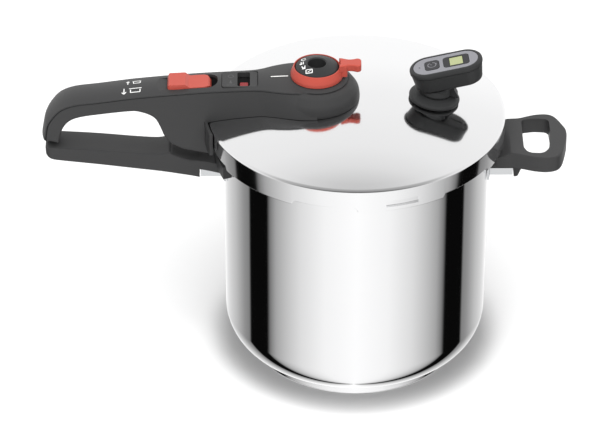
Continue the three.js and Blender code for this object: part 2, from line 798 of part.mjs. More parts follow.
function pinFlag() {
  const [w, d] = [3.5, 3.2];
  const plan = roundedRect(INDICATOR_X - w, INDICATOR_X + w, INDICATOR_Y - d, INDICATOR_Y + d, 1);
  return cut(raised(plan, 241.6, FLAG_TOP, 3), rod(2.3, 240, 243.7, INDICATOR_X, INDICATOR_Y, 24));
}

add("valve_body", valveBody(), STEEL);
add("valve_nut", valveNut(), STEEL);
add("steam_guard", steamGuard(), STEEL);
add("valve_plunger", valvePlunger(), BRASS);
add("valve_spring", spring(4.6, 0.5, PLUNGER_Z + 1.7 + GAP, CAP_LOW - GAP, 5, SELECTOR_X), STEEL);
add("safety_valve_body", safetyBody(), STEEL);
add("safety_valve_nut", nut(7, 4.2, 3.4, SAFETY_X), STEEL);
add("safety_ball", safetyBall(), STEEL);
add("safety_spring", spring(2.6, 0.4, SAFETY_Z + 10.1, SAFETY_Z + 13, 3, SAFETY_X), STEEL);
add("indicator_bush", indicatorBush(), STEEL);
add("indicator_nut", nut(6.4, 3.8, 3, INDICATOR_X, INDICATOR_Y), STEEL);
add("pressure_pin", pressurePin(), STEEL);
add("pin_seal", pinSeal(), RUBBER);
add("pin_flag", pinFlag(), RED);

// ---------- selector ----------
const RING_LOW = NOSE_TOP + GAP;

function selectorRing() {
  const z = RING_LOW;
  const ring = turned([
    [14.6, z],
    [22, z],
    [22, z + 3],
    [21.3, z + 5.4],
    [19.6, z + 9.2],
    [18.8, z + 9.5],
    [18.8, z + 3.4],
    [14.6, z + 3.4],
  ], MIDDLE, SELECTOR_X);
  const plan = new THREE.Shape();
  const edge = [[15, 7], [21, 6.4], [27, 4.6], [31, 5.2], [33.5, 6.2], [36, 5.2], [37, 3.4]];
  edge.forEach(([x, y], i) => (i ? plan.lineTo(SELECTOR_X + x, -y) : plan.moveTo(SELECTOR_X + x, -y)));
  edge.reverse().forEach(([x, y]) => plan.lineTo(SELECTOR_X + x, y));
  const room = rod(20, z, z + 20, SELECTOR_X, 0, MIDDLE);
  const lever = cut(raised(plan, z + 6.4, z + 13), room);
  const neck = cut(raised(plan, z + 2, z + 13), room).intersect(rod(25, z, z + 20, SELECTOR_X));
  return join(ring, lever, neck);
}

function selectorCap() {
  const z = RING_LOW;
  const top = z + 9.6;
  return turned([
    [7.6, top + 2.2],
    [8.6, top + 2.9],
    [13, top + 1.6],
    [17.2, top - 0.1],
    [18.4, top - 1.4],
    [18.4, z + 3.7],
    [14.2, z + 3.7],
    [14.2, z],
    [11.9, z],
    [11.9, NOSE_TOP - 5],
    [13.6, NOSE_TOP - 5.6],
    [13.6, NOSE_TOP - 7.4],
    [9.2, NOSE_TOP - 7.4],
    [9.2, CAP_LOW],
    [4.4, CAP_LOW],
    [4.4, CAP_LOW + 1.5],
    [7.6, CAP_LOW + 1.5],
  ], MIDDLE, SELECTOR_X);
}

add("selector_ring", selectorRing(), RED);
add("selector_cap", selectorCap(), DARK);

// ---------- lock ----------
const PEG_X = [-150, -125];

function lockButton() {
  const w = BUTTON_W;
  const profile = [
    [BUTTON_X0, 254.6],
    [BUTTON_X1, 254.6],
    [BUTTON_X1, 258.4],
    [BUTTON_X1 - 1.6, 260.4],
    [-136, 259.9],
    [-142, 258],
    [-144, 258.3],
    [BUTTON_X0 + 2, 257],
    [BUTTON_X0, 255.4],
  ];
  const plan = raised(roundedRect(BUTTON_X0, BUTTON_X1, -w, w, 6), 250, CUT_TOP, 4);
  const base = sideways(profile, -w, w).intersect(plan);
  const ridge = skinned([
    ridgeRing(BUTTON_X0 + 0.2, 260.2),
    ridgeRing(BUTTON_X0 + 2, 261.8),
    ridgeRing(-144, 262.9),
    ridgeRing(-142.4, 262.6),
    ridgeRing(-138, 260),
  ]).intersect(plan);
  const flange = box(BUTTON_X0 - 3, BUTTON_X1 + 0.5, -w - 2, w + 2, 252.4, 254.3);
  const bridge = raised(roundedRect(BUTTON_X0 + 1, BUTTON_X1 - 1, -w + 1, w - 1, 5), 253, 255.5, 4);
  const pegs = PEG_X.map((x) => rod(1.5, 248, 253, x));
  return join(base, ridge, flange, bridge, ...pegs);
}

function ridgeRing(x, top) {
  const w = BUTTON_W;
  const half = [[w - 0.4, 255.2], [w - 0.6, 257.4], [w - 2.4, top]];
  return [...half.map(([y, z]) => [x, y, z]), ...half.reverse().map(([y, z]) => [x, -y, z])];
}

function lockBolt() {
  const slide = box(-158, -112, -6, 6, 247.2, 249.4);
  const hook = box(-134, -131.4, -6, 6, 205, 248);
  return cut(join(slide, hook), ...PEG_X.map((x) => rod(1.9, 240, 260, x)));
}

add("lock_button", lockButton(), RED);
add("lock_bolt", lockBolt(), STEEL);

// ---------- timer ----------
const KNOB_TOP = 10;

function timerFoot() {
  return cut(
    turned([
      [0, 0.4],
      [19, 0.4],
      [21.2, 1.8],
      [21.5, 3],
      [20.6, 4.2],
      [17.5, 5.3],
      [14, 6.2],
      [8, 6.8],
      [8, KNOB_TOP - 0.8],
      [7.2, KNOB_TOP],
      [0, KNOB_TOP],
    ], MIDDLE),
    rod(2.4, 0, 8.2),
  );
}

const foot = onFoot(new THREE.Group());
upper.add(foot);
add("timer_foot", timerFoot(), DARK, foot);
add("timer_stud", rod(2.1, -6.4, 8, 0, 0, 20), STEEL, foot);
add("timer_nut", cut(hexRod(5, -5.4, -1.7), rod(2.4, -7, 0)), STEEL, foot);

// Capsule outline of the timer, grown or shrunk by `inset`.
function capsule(inset) {
  const [l, w] = [TIMER_L / 2 - inset, TIMER_W / 2 - inset];
  return roundedRect(-l, l, -w, w, w - 0.01);
}

function capsuleRing(inset, z) {
  return capsule(inset).getPoints(4).map((p) => [p.x, p.y, z]).filter((p, i, all) => {
    const q = all[(i + 1) % all.length];
    return Math.hypot(p[0] - q[0], p[1] - q[1]) > 1e-3;
  });
}

const SEAM_Z = -4.4;
const CASE_FLOOR = -TIMER_H;
const DOOR_X = 14;
const DOOR_R = 10.6;

function timerCase() {
  const outside = skinned([
    capsuleRing(4.2, CASE_FLOOR),
    capsuleRing(2.8, CASE_FLOOR + 1.2),
    capsuleRing(0.5, SEAM_Z - GAP),
  ]);
  const inside = skinned([
    capsuleRing(5, CASE_FLOOR + 2.2),
    capsuleRing(2.9, SEAM_Z + 1),
  ]);
  return cut(
    outside,
    inside,
    rod(DOOR_R + GAP, CASE_FLOOR - 1, CASE_FLOOR + 1.4, DOOR_X, 0, MIDDLE),
    rod(DOOR_R - 1.2, CASE_FLOOR - 1, CASE_FLOOR + 4, DOOR_X, 0, MIDDLE),
  );
}

function timerBezel() {
  const outside = skinned([
    capsuleRing(0.5, SEAM_Z),
    capsuleRing(0, SEAM_Z + 0.8),
    capsuleRing(0, -1.6),
    capsuleRing(0.7, -0.5),
    capsuleRing(2, 0),
  ]);
  return cut(
    outside,
    raised(capsule(3.2), -1.8, 1),
    raised(capsule(4.6), SEAM_Z - 1, 1),
  );
}

const BUTTON = { x: -11.6, w: 6, d: 7, r: 3 };
const LENS = { x: 8.9, w: 10.8, d: 7.8, r: 3 };
const SCREEN = { x: 8.9, w: 5.5, d: 5.8 };
const padPlan = ({ x, w, d, r }, grow) => roundedRect(x - w - grow, x + w + grow, -d - grow, d + grow, r + grow);

function timerFaceplate() {
  return cut(
    raised(capsule(3.5), -1.5, -0.2),
    raised(padPlan(BUTTON, GAP), -3, 1, 4),
    raised(padPlan(LENS, GAP), -3, 1, 4),
    rod(0.7, -3, 1, -22.4, 0, 12),
  );
}

function timerLens() {
  const plate = raised(padPlan(LENS, 0), -1.5, -0.1, 4);
  return cut(plate, raised(padPlan({ ...SCREEN, r: 0.3 }, GAP), -3, -0.9, 3));
}

const display = () => {
  const { x, w, d } = SCREEN;
  return box(x - w, x + w, -d, d, -2.6, -1.2);
};
const timerBoard = () => box(-19, 19, -10, 10, -4.6, -3.4);
const buzzer = () => cut(rod(4.6, -9, -4.9, -17), rod(1, -9.5, -7, -17, 0, 12));
const battery = () => rod(9, CASE_FLOOR + 4.6, CASE_FLOOR + 7.8, DOOR_X);

function timerButton() {
  const pad = raised(padPlan(BUTTON, 0), -1.6, 0.2, 4);
  const stem = rod(1.6, -2.2, -1, BUTTON.x, 0, 16);
  return join(pad, stem);
}

function batteryDoor() {
  const disc = rod(DOOR_R, CASE_FLOOR, CASE_FLOOR + 1.1, DOOR_X, 0, MIDDLE);
  const plug = rod(DOOR_R - 1.6, CASE_FLOOR + 0.6, CASE_FLOOR + 3.4, DOOR_X, 0, MIDDLE);
  const coinSlot = box(DOOR_X - 6, DOOR_X + 6, -0.9, 0.9, CASE_FLOOR - 1, CASE_FLOOR + 1);
  return cut(join(disc, plug), coinSlot);
}

const timer = new THREE.Group();
timer.rotation.set(0, -TIMER_TILT * DEG, TIMER_YAW * DEG, "ZYX");
timer.position.set(0, 0, TIMER_H).applyEuler(timer.rotation);
timer.position.add(new THREE.Vector3(...TIMER_SEAT));
timer.updateMatrix();
upper.add(timer);

// The socket under the case that grips the foot's knob, with its release tab at the right.
function timerClip() {
  const grip = turned([
    [0, KNOB_TOP + 0.4],
    [8.4, KNOB_TOP + 0.4],
    [8.4, 7.1],
    [13, 6.9],
    [14, 8.6],
    [13.4, 20],
    [0, 20],
  ], MIDDLE);
  const tab = sideways([[8, 8], [13, 7.2], [18.6, 6], [19.6, 6.6], [16.4, 10.4], [15, 13], [14.4, 20], [8, 20]], -5, 5);
  const socket = rod(8.4, 0, KNOB_TOP + 0.4);
  const clip = moved(cut(join(grip, tab), socket), footMatrix());
  const above = moved(box(-60, 60, -40, 40, CASE_FLOOR - GAP, 60), timer.matrix);
  return cut(clip, above);
}

add("timer_case", timerCase(), DARK, timer);
add("timer_bezel", timerBezel(), DARK, timer);
add("timer_faceplate", timerFaceplate(), GREY, timer);
add("timer_lens", timerLens(), GLOSS, timer);
add("timer_display", display(), LCD, timer);
add("timer_board", timerBoard(), BOARD, timer);
add("timer_buzzer", buzzer(), DARK, timer);
add("timer_battery", battery(), STEEL, timer);
add("timer_button", timerButton(), GLOSS, timer);
add("battery_door", batteryDoor(), DARK, timer);
add("timer_clip", timerClip(), DARK);

export default object;
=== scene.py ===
import json
import math

import bmesh
import bpy
from mathutils import Matrix, Vector
from mathutils.bvhtree import BVHTree


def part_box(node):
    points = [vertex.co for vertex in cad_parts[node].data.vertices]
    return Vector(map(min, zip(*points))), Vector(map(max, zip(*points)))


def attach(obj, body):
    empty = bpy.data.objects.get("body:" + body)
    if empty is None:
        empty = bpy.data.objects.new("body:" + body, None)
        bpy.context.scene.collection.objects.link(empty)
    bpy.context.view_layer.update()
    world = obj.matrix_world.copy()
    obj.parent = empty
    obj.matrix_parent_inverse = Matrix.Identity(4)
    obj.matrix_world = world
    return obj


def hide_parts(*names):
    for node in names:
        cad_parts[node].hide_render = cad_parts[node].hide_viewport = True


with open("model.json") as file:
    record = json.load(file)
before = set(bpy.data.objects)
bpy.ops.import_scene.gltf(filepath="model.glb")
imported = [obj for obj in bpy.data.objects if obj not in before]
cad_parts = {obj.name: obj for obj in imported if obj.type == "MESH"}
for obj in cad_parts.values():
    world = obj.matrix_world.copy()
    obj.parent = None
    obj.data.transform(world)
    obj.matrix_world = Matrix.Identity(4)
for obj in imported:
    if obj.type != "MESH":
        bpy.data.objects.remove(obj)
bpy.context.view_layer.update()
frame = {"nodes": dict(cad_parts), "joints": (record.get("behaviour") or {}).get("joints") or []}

bl_info = {
    "name": "Pressure cooker looks",
    "version": (1, 0, 0),
    "blender": (4, 5, 0),
    "location": "View3D > Sidebar > Cooker",
    "description": "Builds the visible pieces of a stove-top pressure cooker around its packed frame",
    "category": "Object",
}

# Shapes are drawn in millimetres, +Z up, the pot's axis at the origin and the long handles towards -X.
MM = 0.001
GAP = 0.3
SIDES = 144  # facets of the small turned pieces
ROUND = 360  # facets of the pot and the lid
LUGS = 6
FIRST_LUG = -73.5  # degrees round the pot from +X
PAINT = 0.08  # thickness of the printed marks
JOINTS = {joint["name"]: joint for joint in frame["joints"]}


def low(node):
    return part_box(node)[0] / MM


def high(node):
    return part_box(node)[1] / MM


def middle(node):
    return (low(node) + high(node)) / 2


# ---------- sizes read from the frame ----------
POT_R = high("base_core").x + 22.9
FLANGE_Z = high("pot_vessel").z
LUG_R = high("pot_vessel").x
COLLAR_R = high("lid_shell").y
DOME_TOP = 246.0
RIM_Z = 230.0
SELECTOR = Vector(JOINTS["selector_turn"]["pos_m"]) / MM
NOSE_TOP = low("selector_ring").z - GAP


# ---------- drawing ----------
def filleted(corners, steps=5):
    """A closed outline whose corners (x, y, radius) are rounded off; a corner (x, y) stays sharp."""
    outline = []
    for i, (x, y, *rest) in enumerate(corners):
        point = Vector((x, y))
        if not rest:
            outline.append(point)
            continue
        back = Vector(corners[i - 1][:2]) - point
        on = Vector(corners[(i + 1) % len(corners)][:2]) - point
        half = back.angle(on) / 2
        reach = min(rest[0] / math.tan(half), 0.495 * back.length, 0.495 * on.length)
        radius = reach * math.tan(half)
        back.normalize()
        on.normalize()
        centre = point + (back + on).normalized() * (radius / math.sin(half))
        start = point + back * reach - centre
        end = point + on * reach - centre
        first = math.atan2(start.y, start.x)
        sweep = (math.atan2(end.y, end.x) - first + math.pi) % (2 * math.pi) - math.pi
        for k in range(steps + 1):
            angle = first + sweep * k / steps
            outline.append(centre + radius * Vector((math.cos(angle), math.sin(angle))))
    return outline


def block_outline(x0, x1, y0, y1, radius):
    return filleted([(x0, y0, radius), (x1, y0, radius), (x1, y1, radius), (x0, y1, radius)])


def spun(profile, sides=SIDES, x=0, y=0, start=0.0):
    """A turned solid: profile points are (radius, z), the axis stands at (x, y)."""
    bm = bmesh.new()
    turn = Matrix.Rotation(start, 3, "Z")
    verts = [bm.verts.new(turn @ Vector((r, 0, z))) for r, z in profile]
    ends = list(zip(verts, verts[1:]))
    if profile[0][0] > 0:
        ends.append((verts[-1], verts[0]))
    edges = [bm.edges.new(pair) for pair in ends]
    bmesh.ops.spin(bm, geom=verts + edges, cent=(0, 0, 0), axis=(0, 0, 1), angle=2 * math.pi,
                   steps=sides, use_merge=True)
    bmesh.ops.remove_doubles(bm, verts=bm.verts, dist=0.001)
    bmesh.ops.translate(bm, verts=bm.verts, vec=(x, y, 0))
    bmesh.ops.recalc_face_normals(bm, faces=bm.faces)
    return bm


def rod(radius, z0, z1, x=0, y=0, sides=48):
    return spun([(0, z0), (radius, z0), (radius, z1), (0, z1)], sides, x, y)


def soften(bm, edges, width, steps):
    if width and edges:
        bmesh.ops.bevel(bm, geom=edges, offset=width, offset_type="OFFSET", segments=steps, profile=0.5,
                        affect="EDGES", material=-1, clamp_overlap=True)


def level_edges(bm, z):
    return [e for e in bm.edges if all(abs(v.co.z - z) < 0.01 for v in e.verts)]


def slab(outline, z0, z1, top=0.0, under=0.0, steps=3):
    """An upright slab over a plan outline, with its upper and lower edges rounded."""
    bm = bmesh.new()
    face = bm.faces.new([bm.verts.new((x, y, z0)) for x, y in outline])
    raised = bmesh.ops.extrude_face_region(bm, geom=[face])["geom"]
    bmesh.ops.translate(bm, verts=[v for v in raised if isinstance(v, bmesh.types.BMVert)], vec=(0, 0, z1 - z0))
    bmesh.ops.recalc_face_normals(bm, faces=bm.faces)
    soften(bm, level_edges(bm, z1), top, steps)
    soften(bm, level_edges(bm, z0), under, steps)
    return bm


def sideways(outline, y0, y1):
    """A solid over an outline in the XZ plane, from y0 to y1."""
    bm = slab(outline, y0, y1)
    bmesh.ops.transform(bm, verts=bm.verts, matrix=Matrix(((1, 0, 0, 0), (0, 0, 1, 0), (0, 1, 0, 0), (0, 0, 0, 1))))
    bmesh.ops.recalc_face_normals(bm, faces=bm.faces)
    return bm


def box(x0, x1, y0, y1, z0, z1):
    bm = bmesh.new()
    bmesh.ops.create_cube(bm, size=1)
    bmesh.ops.scale(bm, verts=bm.verts, vec=(x1 - x0, y1 - y0, z1 - z0))
    bmesh.ops.translate(bm, verts=bm.verts, vec=((x0 + x1) / 2, (y0 + y1) / 2, (z0 + z1) / 2))
    return bm


def sector(r_in, r_out, centre_deg, half_deg, z0, z1, steps=12):
    """A stretch of an upright ring."""
    angles = [math.radians(centre_deg + half_deg * (2 * k / steps - 1)) for k in range(steps + 1)]
    outer = [(r_out * math.cos(a), r_out * math.sin(a)) for a in angles]
    inner = [(r_in * math.cos(a), r_in * math.sin(a)) for a in reversed(angles)]
    return slab(outer + inner, z0, z1)


def lofted(rings):
    """A closed skin over a row of rings of points."""
    bm = bmesh.new()
    loops = []
    for ring in rings:
        verts = [bm.verts.new(point) for point in ring]
        loops.append([bm.edges.new((verts[i - 1], verts[i])) for i in range(len(verts))])
    for first, second in zip(loops, loops[1:]):
        bmesh.ops.bridge_loops(bm, edges=first + second)
    for end in (loops[0], loops[-1]):
        bmesh.ops.contextual_create(bm, geom=end)
    bmesh.ops.recalc_face_normals(bm, faces=bm.faces)
    return bm


def curve_between(rows, count):
    """Rows of numbers drawn through smoothly, with `count` steps from each row to the next."""
    smooth = []
    for i in range(len(rows) - 1):
        before, a, b, after = rows[max(i - 1, 0)], rows[i], rows[i + 1], rows[min(i + 2, len(rows) - 1)]
        for k in range(count):
            t = k / count
            smooth.append([
                0.5 * (2 * q + (r - p) * t + (2 * p - 5 * q + 4 * r - s) * t**2 + (3 * q - p - 3 * r + s) * t**3)
                for p, q, r, s in zip(before, a, b, after)
            ])
    return smooth + [list(rows[-1])]


def cross_section(x_low, z_low, x_high, z_high, w_low, w_high, r_low, r_high, crown, belly=0.0):
    """The outline across a handle, in the plane through its lower and upper line."""
    foot = Vector((x_low, 0, z_low))
    up = Vector((x_high, 0, z_high)) - foot
    height = up.length
    up.normalize()
    top = [(w_high * k / 4, height + crown * (1 - (k / 4) ** 2)) for k in (3, 2, 1, 0, -1, -2, -3)]
    side = [(w_low + (w_high - w_low) * t + 4 * belly * t * (1 - t), height * t) for t in (0.3, 0.5, 0.7, 0.85)]
    outline = filleted([
        (-w_low, 0, r_low),
        (w_low, 0, r_low),
        *side,
        (w_high, height, r_high),
        *top,
        (-w_high, height, r_high),
        *[(-y, z) for y, z in reversed(side)],
    ], 4)
    return [foot + up * rise + Vector((0, side, 0)) for side, rise in outline]


# ---------- pieces ----------
def placed(name, bm, matrix=None):
    """The drawn shape as an object in the frame."""
    if matrix is not None:
        bmesh.ops.transform(bm, verts=bm.verts, matrix=matrix)
    bmesh.ops.scale(bm, verts=bm.verts, vec=(MM, MM, MM))
    mesh = bpy.data.meshes.new(name)
    bm.to_mesh(mesh)
    bm.free()
    piece = bpy.data.objects.new(name, mesh)
    bpy.context.scene.collection.objects.link(piece)
    return piece


def bake_modifiers(piece):
    result = bpy.data.meshes.new_from_object(piece.evaluated_get(bpy.context.evaluated_depsgraph_get()))
    piece.modifiers.clear()
    piece.data = result


def combine(piece, tool, operation):
    """Join the tool onto the piece, cut it out of it or keep what they share; the tool is used up."""
    modifier = piece.modifiers.new(operation, "BOOLEAN")
    modifier.operation = operation
    modifier.solver = "EXACT"
    modifier.object = tool
    bake_modifiers(piece)
    bpy.data.objects.remove(tool)


def cut(piece, *shapes, matrix=None):
    for shape in shapes:
        combine(piece, placed("tool", shape, matrix), "DIFFERENCE")


def join(piece, *shapes, matrix=None):
    for shape in shapes:
        combine(piece, placed("tool", shape, matrix), "UNION")


def finished(piece, look, body, replaced=(), smooth=32):
    """Smooth shading, a finish, and the piece's place in the frame."""
    bm = bmesh.new()
    bm.from_mesh(piece.data)
    bmesh.ops.remove_doubles(bm, verts=bm.verts, dist=0.002 * MM)
    bmesh.ops.dissolve_degenerate(bm, edges=bm.edges, dist=0.002 * MM)
    bm.to_mesh(piece.data)
    bm.free()
    piece.data.polygons.foreach_set("use_smooth", [True] * len(piece.data.polygons))
    piece.data.set_sharp_from_angle(angle=math.radians(smooth))
    modifier = piece.modifiers.new("even_shading", "WEIGHTED_NORMAL")
    modifier.keep_sharp = True
    bake_modifiers(piece)
    piece.data.name = piece.name
    piece.data.materials.clear()
    piece.data.materials.append(finish(look))
    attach(piece, body)
    if replaced:
        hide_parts(*replaced)


# ---------- finishes ----------
FINISHES = {}


def node_maker(tree):
    """A function that adds a node to the tree, sets its values and links its inputs."""
    def node(kind, links=None, **values):
        made = tree.nodes.new(kind)
        for key, value in values.items():
            if hasattr(made, key):
                setattr(made, key, value)
            else:
                made.inputs[key.replace("_", " ")].default_value = value
        for socket, source in (links or {}).items():
            tree.links.new(source, made.inputs[socket])
        return made

    return node


def surface(name, colour, roughness, metallic=0.0, grain=900.0, bump=0.05, spread=0.06, tint=0.05,
            stretch=(1, 1, 1), turned=False, centre=(0, 0, 0), coat=0.0, specular=0.5):
    """A finish whose roughness, shade and relief vary with a fine and a broad pattern.

    stretch draws the fine pattern out along an axis, and turned lays it in rings round the piece's axis.
    """
    material = bpy.data.materials.new(name + "_finish")
    material.use_nodes = True
    tree = material.node_tree
    shader = tree.nodes["Principled BSDF"]
    shader.inputs["Metallic"].default_value = metallic
    shader.inputs["Coat Weight"].default_value = coat
    shader.inputs["Coat Roughness"].default_value = 0.12
    shader.inputs["Specular IOR Level"].default_value = specular

    node = node_maker(tree)
    coordinates = node("ShaderNodeTexCoord").outputs["Object"]
    place = node("ShaderNodeMapping", {"Vector": coordinates}, Location=[-c * MM for c in centre]).outputs[0]
    pattern = place
    if turned:
        apart = node("ShaderNodeSeparateXYZ", {"Vector": place})
        flat = node("ShaderNodeCombineXYZ", {"X": apart.outputs["X"], "Y": apart.outputs["Y"]})
        radius = node("ShaderNodeVectorMath", {0: flat.outputs[0]}, operation="LENGTH")
        pattern = node("ShaderNodeCombineXYZ", {"X": radius.outputs["Value"], "Y": apart.outputs["Z"]}).outputs[0]
    fine_place = node("ShaderNodeMapping", {"Vector": pattern}, Scale=stretch).outputs[0]
    fine = node("ShaderNodeTexNoise", {"Vector": fine_place}, Scale=grain, Detail=3.0, Roughness=0.6)
    broad = node("ShaderNodeTexNoise", {"Vector": place}, Scale=22.0, Detail=2.0)

    rough_mix = node("ShaderNodeMath", {0: fine.outputs["Fac"], 1: broad.outputs["Fac"]}, operation="ADD")
    rough = node("ShaderNodeMapRange", {"Value": rough_mix.outputs[0]}, From_Min=0.6, From_Max=1.4,
                 To_Min=max(roughness - spread, 0.02), To_Max=roughness + spread)
    tree.links.new(rough.outputs["Result"], shader.inputs["Roughness"])

    shade = node("ShaderNodeMix", {"Factor": broad.outputs["Fac"]}, data_type="RGBA")
    shade.inputs["A"].default_value = (*[c * (1 - tint) for c in colour], 1)
    shade.inputs["B"].default_value = (*[min(c * (1 + tint), 1) for c in colour], 1)
    fleck = node("ShaderNodeMix", {"Factor": fine.outputs["Fac"]}, data_type="RGBA")
    tree.links.new(shade.outputs["Result"], fleck.inputs["A"])
    fleck.inputs["B"].default_value = (*[min(c * (1 + tint), 1) for c in colour], 1)
    tree.links.new(fleck.outputs["Result"], shader.inputs["Base Color"])

    relief = node("ShaderNodeBump", {"Height": fine.outputs["Fac"]}, Strength=bump, Distance=0.0002)
    tree.links.new(relief.outputs["Normal"], shader.inputs["Normal"])
    return material


# colour, or the name of the panel's setting; roughness; the rest of what surface() takes
SETTINGS = {
    "polished_steel": ("steel_colour", "pot_roughness", dict(metallic=1, grain=700, bump=0.003, spread=0.012,
                                                             tint=0.015, turned=True)),
    "satin_steel": ("steel_colour", "lid_roughness", dict(metallic=1, bump=0.003, spread=0.012, tint=0.012,
                                                          turned=True)),
    "plain_steel": ((0.62, 0.63, 0.64), 0.3, dict(metallic=1, grain=1400, bump=0.06, spread=0.07,
                                                  stretch=(1, 0.05, 1))),
    "cast_aluminium": ((0.62, 0.63, 0.64), 0.45, dict(metallic=1, grain=600, bump=0.2, spread=0.1)),
    "brass_part": ((0.62, 0.48, 0.22), 0.28, dict(metallic=1, grain=1500, turned=True,
                                                  centre=(SELECTOR.x, 0, 0))),
    "charcoal_plastic": ("handle_colour", 0.44, dict(grain=1900, bump=0.22, spread=0.07, tint=0.06,
                                                     specular=0.22)),
    "dark_plastic": ("timer_colour", 0.47, dict(grain=1700, bump=0.1, tint=0.06, specular=0.27)),
    "red_plastic": ("red_colour", 0.38, dict(grain=1800, bump=0.1, specular=0.3)),
    "red_flag": ((0.22, 0.004, 0.007), 0.3, dict(grain=1500, bump=0.03)),
    "gloss_black": ((0.02, 0.02, 0.022), 0.2, dict(grain=1200, bump=0.01, spread=0.04, specular=0.25)),
    "button_rubber": ((0.035, 0.035, 0.038), 0.5, dict(grain=2200, bump=0.25, specular=0.25)),
    "grey_silicone": ((0.27, 0.28, 0.28), 0.65, dict(grain=1200, bump=0.15)),
    "grey_plastic": ("face_colour", 0.42, dict(metallic=0.15, grain=2600, bump=0.12, spread=0.08)),
    "display_glass": ("screen_colour", 0.3, dict(grain=2400, bump=0.02, tint=0.07, specular=0.3)),
    "circuit_board": ((0.04, 0.16, 0.06), 0.4, dict(grain=700, bump=0.1, tint=0.3)),
    "faint_print": ((0.085, 0.085, 0.087), 0.6, dict(grain=3000)),
    "print_white": ((0.80, 0.80, 0.79), 0.6, dict(grain=3000)),
    "floor_white": ((0.9, 0.9, 0.9), 0.6, dict(grain=40, bump=0, tint=0.01)),
    "shade_black": ((0.004, 0.004, 0.004), 0.9, dict(grain=50, bump=0, specular=0.0)),
}


def finish(name):
    """The named finish, made when it is first asked for."""
    if name not in FINISHES:
        panel = bpy.context.scene.cooker_look
        colour, roughness, rest = SETTINGS[name]
        if isinstance(colour, str):
            colour = getattr(panel, colour)
        if isinstance(roughness, str):
            roughness = getattr(panel, roughness)
        FINISHES[name] = surface(name, colour, roughness, **rest)
    return FINISHES[name]


# ---------- pot ----------
def past_lug(v):
    """How far round from the nearest lug's middle a corner lies, in degrees."""
    return (math.degrees(math.atan2(v.co.y, v.co.x)) - FIRST_LUG) % (360 / LUGS)


def make_pot():
    wall, corner_r, base_h = 1.2, 33.0, 6.0

    def bend(radius, upwards):
        centre = (POT_R - corner_r, base_h + corner_r)
        angles = [math.pi / 2 * k / 16 for k in range(17)]
        if not upwards:
            angles.reverse()
        return [(centre[0] + radius * math.sin(a), centre[1] - radius * math.cos(a)) for a in angles]

    bm = spun([
        (0, base_h + wall),
        *bend(corner_r - wall, True),
        (POT_R - wall, FLANGE_Z - 2.6),
        (POT_R - 0.7, FLANGE_Z - 1.2),
        (POT_R + 0.8, FLANGE_Z - 0.2),
        (POT_R + 2.5, FLANGE_Z),
        (LUG_R - 0.5, FLANGE_Z),
        (LUG_R, FLANGE_Z - 0.4),
        (LUG_R, FLANGE_Z - 0.9),
        (LUG_R - 0.5, FLANGE_Z - wall),
        (POT_R + 2.2, FLANGE_Z - wall),
        (POT_R + 0.6, FLANGE_Z - 2.2),
        (POT_R, FLANGE_Z - 3.4),
        *bend(corner_r, False),
        (0, base_h),
    ], ROUND)
    # between the bayonet lugs the rim is narrower
    narrow_r = 116.5
    for v in bm.verts:
        radius = math.hypot(v.co.x, v.co.y)
        if radius > narrow_r and 12 < past_lug(v) < 48:
            v.co.xy *= (narrow_r + 0.1 * (radius - narrow_r)) / radius
    vessel = placed("pot", bm)
    finished(vessel, "polished_steel", "pot", ["pot_vessel"])

    r = high("base_cap").x
    cap = placed("base", spun(filleted([
        (0, 0),
        (r - 1.4, 0, 1.2),
        (r, 1.6, 1.4),
        (r, 7, 0.35),
        (r - 0.8, 7, 0.35),
        (r - 0.8, 2.4, 1),
        (r - 2.4, 0.8, 1),
        (0, 0.8),
    ]), ROUND))
    finished(cap, "polished_steel", "pot", ["base_cap"])


# ---------- pot handles ----------
# x, underside, top edge, half-width down, half-width up
POT_GRIP = [
    (-262.6, 196.6, 200.2, 7, 7.5),
    (-261.6, 193.6, 201.6, 10.5, 11),
    (-257.5, 190.8, 202.6, 13, 13.8),
    (-248, 189.2, 202.4, 13.5, 14.5),
    (-217, 185.2, 200.3, 13.5, 14.5),
    (-190, 181.4, 197.6, 13.5, 14.5),
    (-170, 178.6, 196.2, 13.5, 14.5),
    (-162, 177.2, 197.2, 13.5, 14.5),
    (-157.5, 176.4, 198.2, 13.5, 14.5),
    (-154, 175.8, 195.4, 13.5, 14.5),
    (-141, 173.6, 190.6, 13.5, 14.5),
    (-132.7, 172.1, 190.4, 14, 15),
]
POT_ROOT = [
    (-135, 181, 190.1, 13.6, 14.6),
    (-124, 180.7, 190.4, 17, 17.5),
    (-112, 180.7, 190.4, 22, 22),
]
ROOT_LOW = 180.7


def upright_loft(rows, steps, r_low, r_high, crown):
    return lofted([
        cross_section(x, zb, x, zt, wb, wt, r_low, r_high, crown) for x, zb, zt, wb, wt in curve_between(rows, steps)
    ])


def make_pot_handle():
    grip = placed("long_handle", upright_loft(POT_GRIP, 4, 3.2, 2.2, 0.9))
    join(
        grip,
        upright_loft(POT_ROOT, 6, 1.2, 1.2, 0.3),
        sector(POT_R + 0.4, POT_R + 8, 180, 20.5, 189, 200.4, 24),
    )
    cut(
        grip,
        rod(POT_R + 0.45, 165, 205, sides=ROUND),
        sector(100, POT_R + 2 + GAP, 180, 11.7, 167, 193),
        box(-132.1, -110, -9.5, 9.5, 170, 184.5),
        box(-160.4, -130, -9.5, 9.5, 180.9, 184.5),
        rod(2.4, 170, 188, -150),
        rod(4.6, 170, 178.8, -150),
    )
    finished(grip, "charcoal_plastic", "pot", ["pot_handle"])


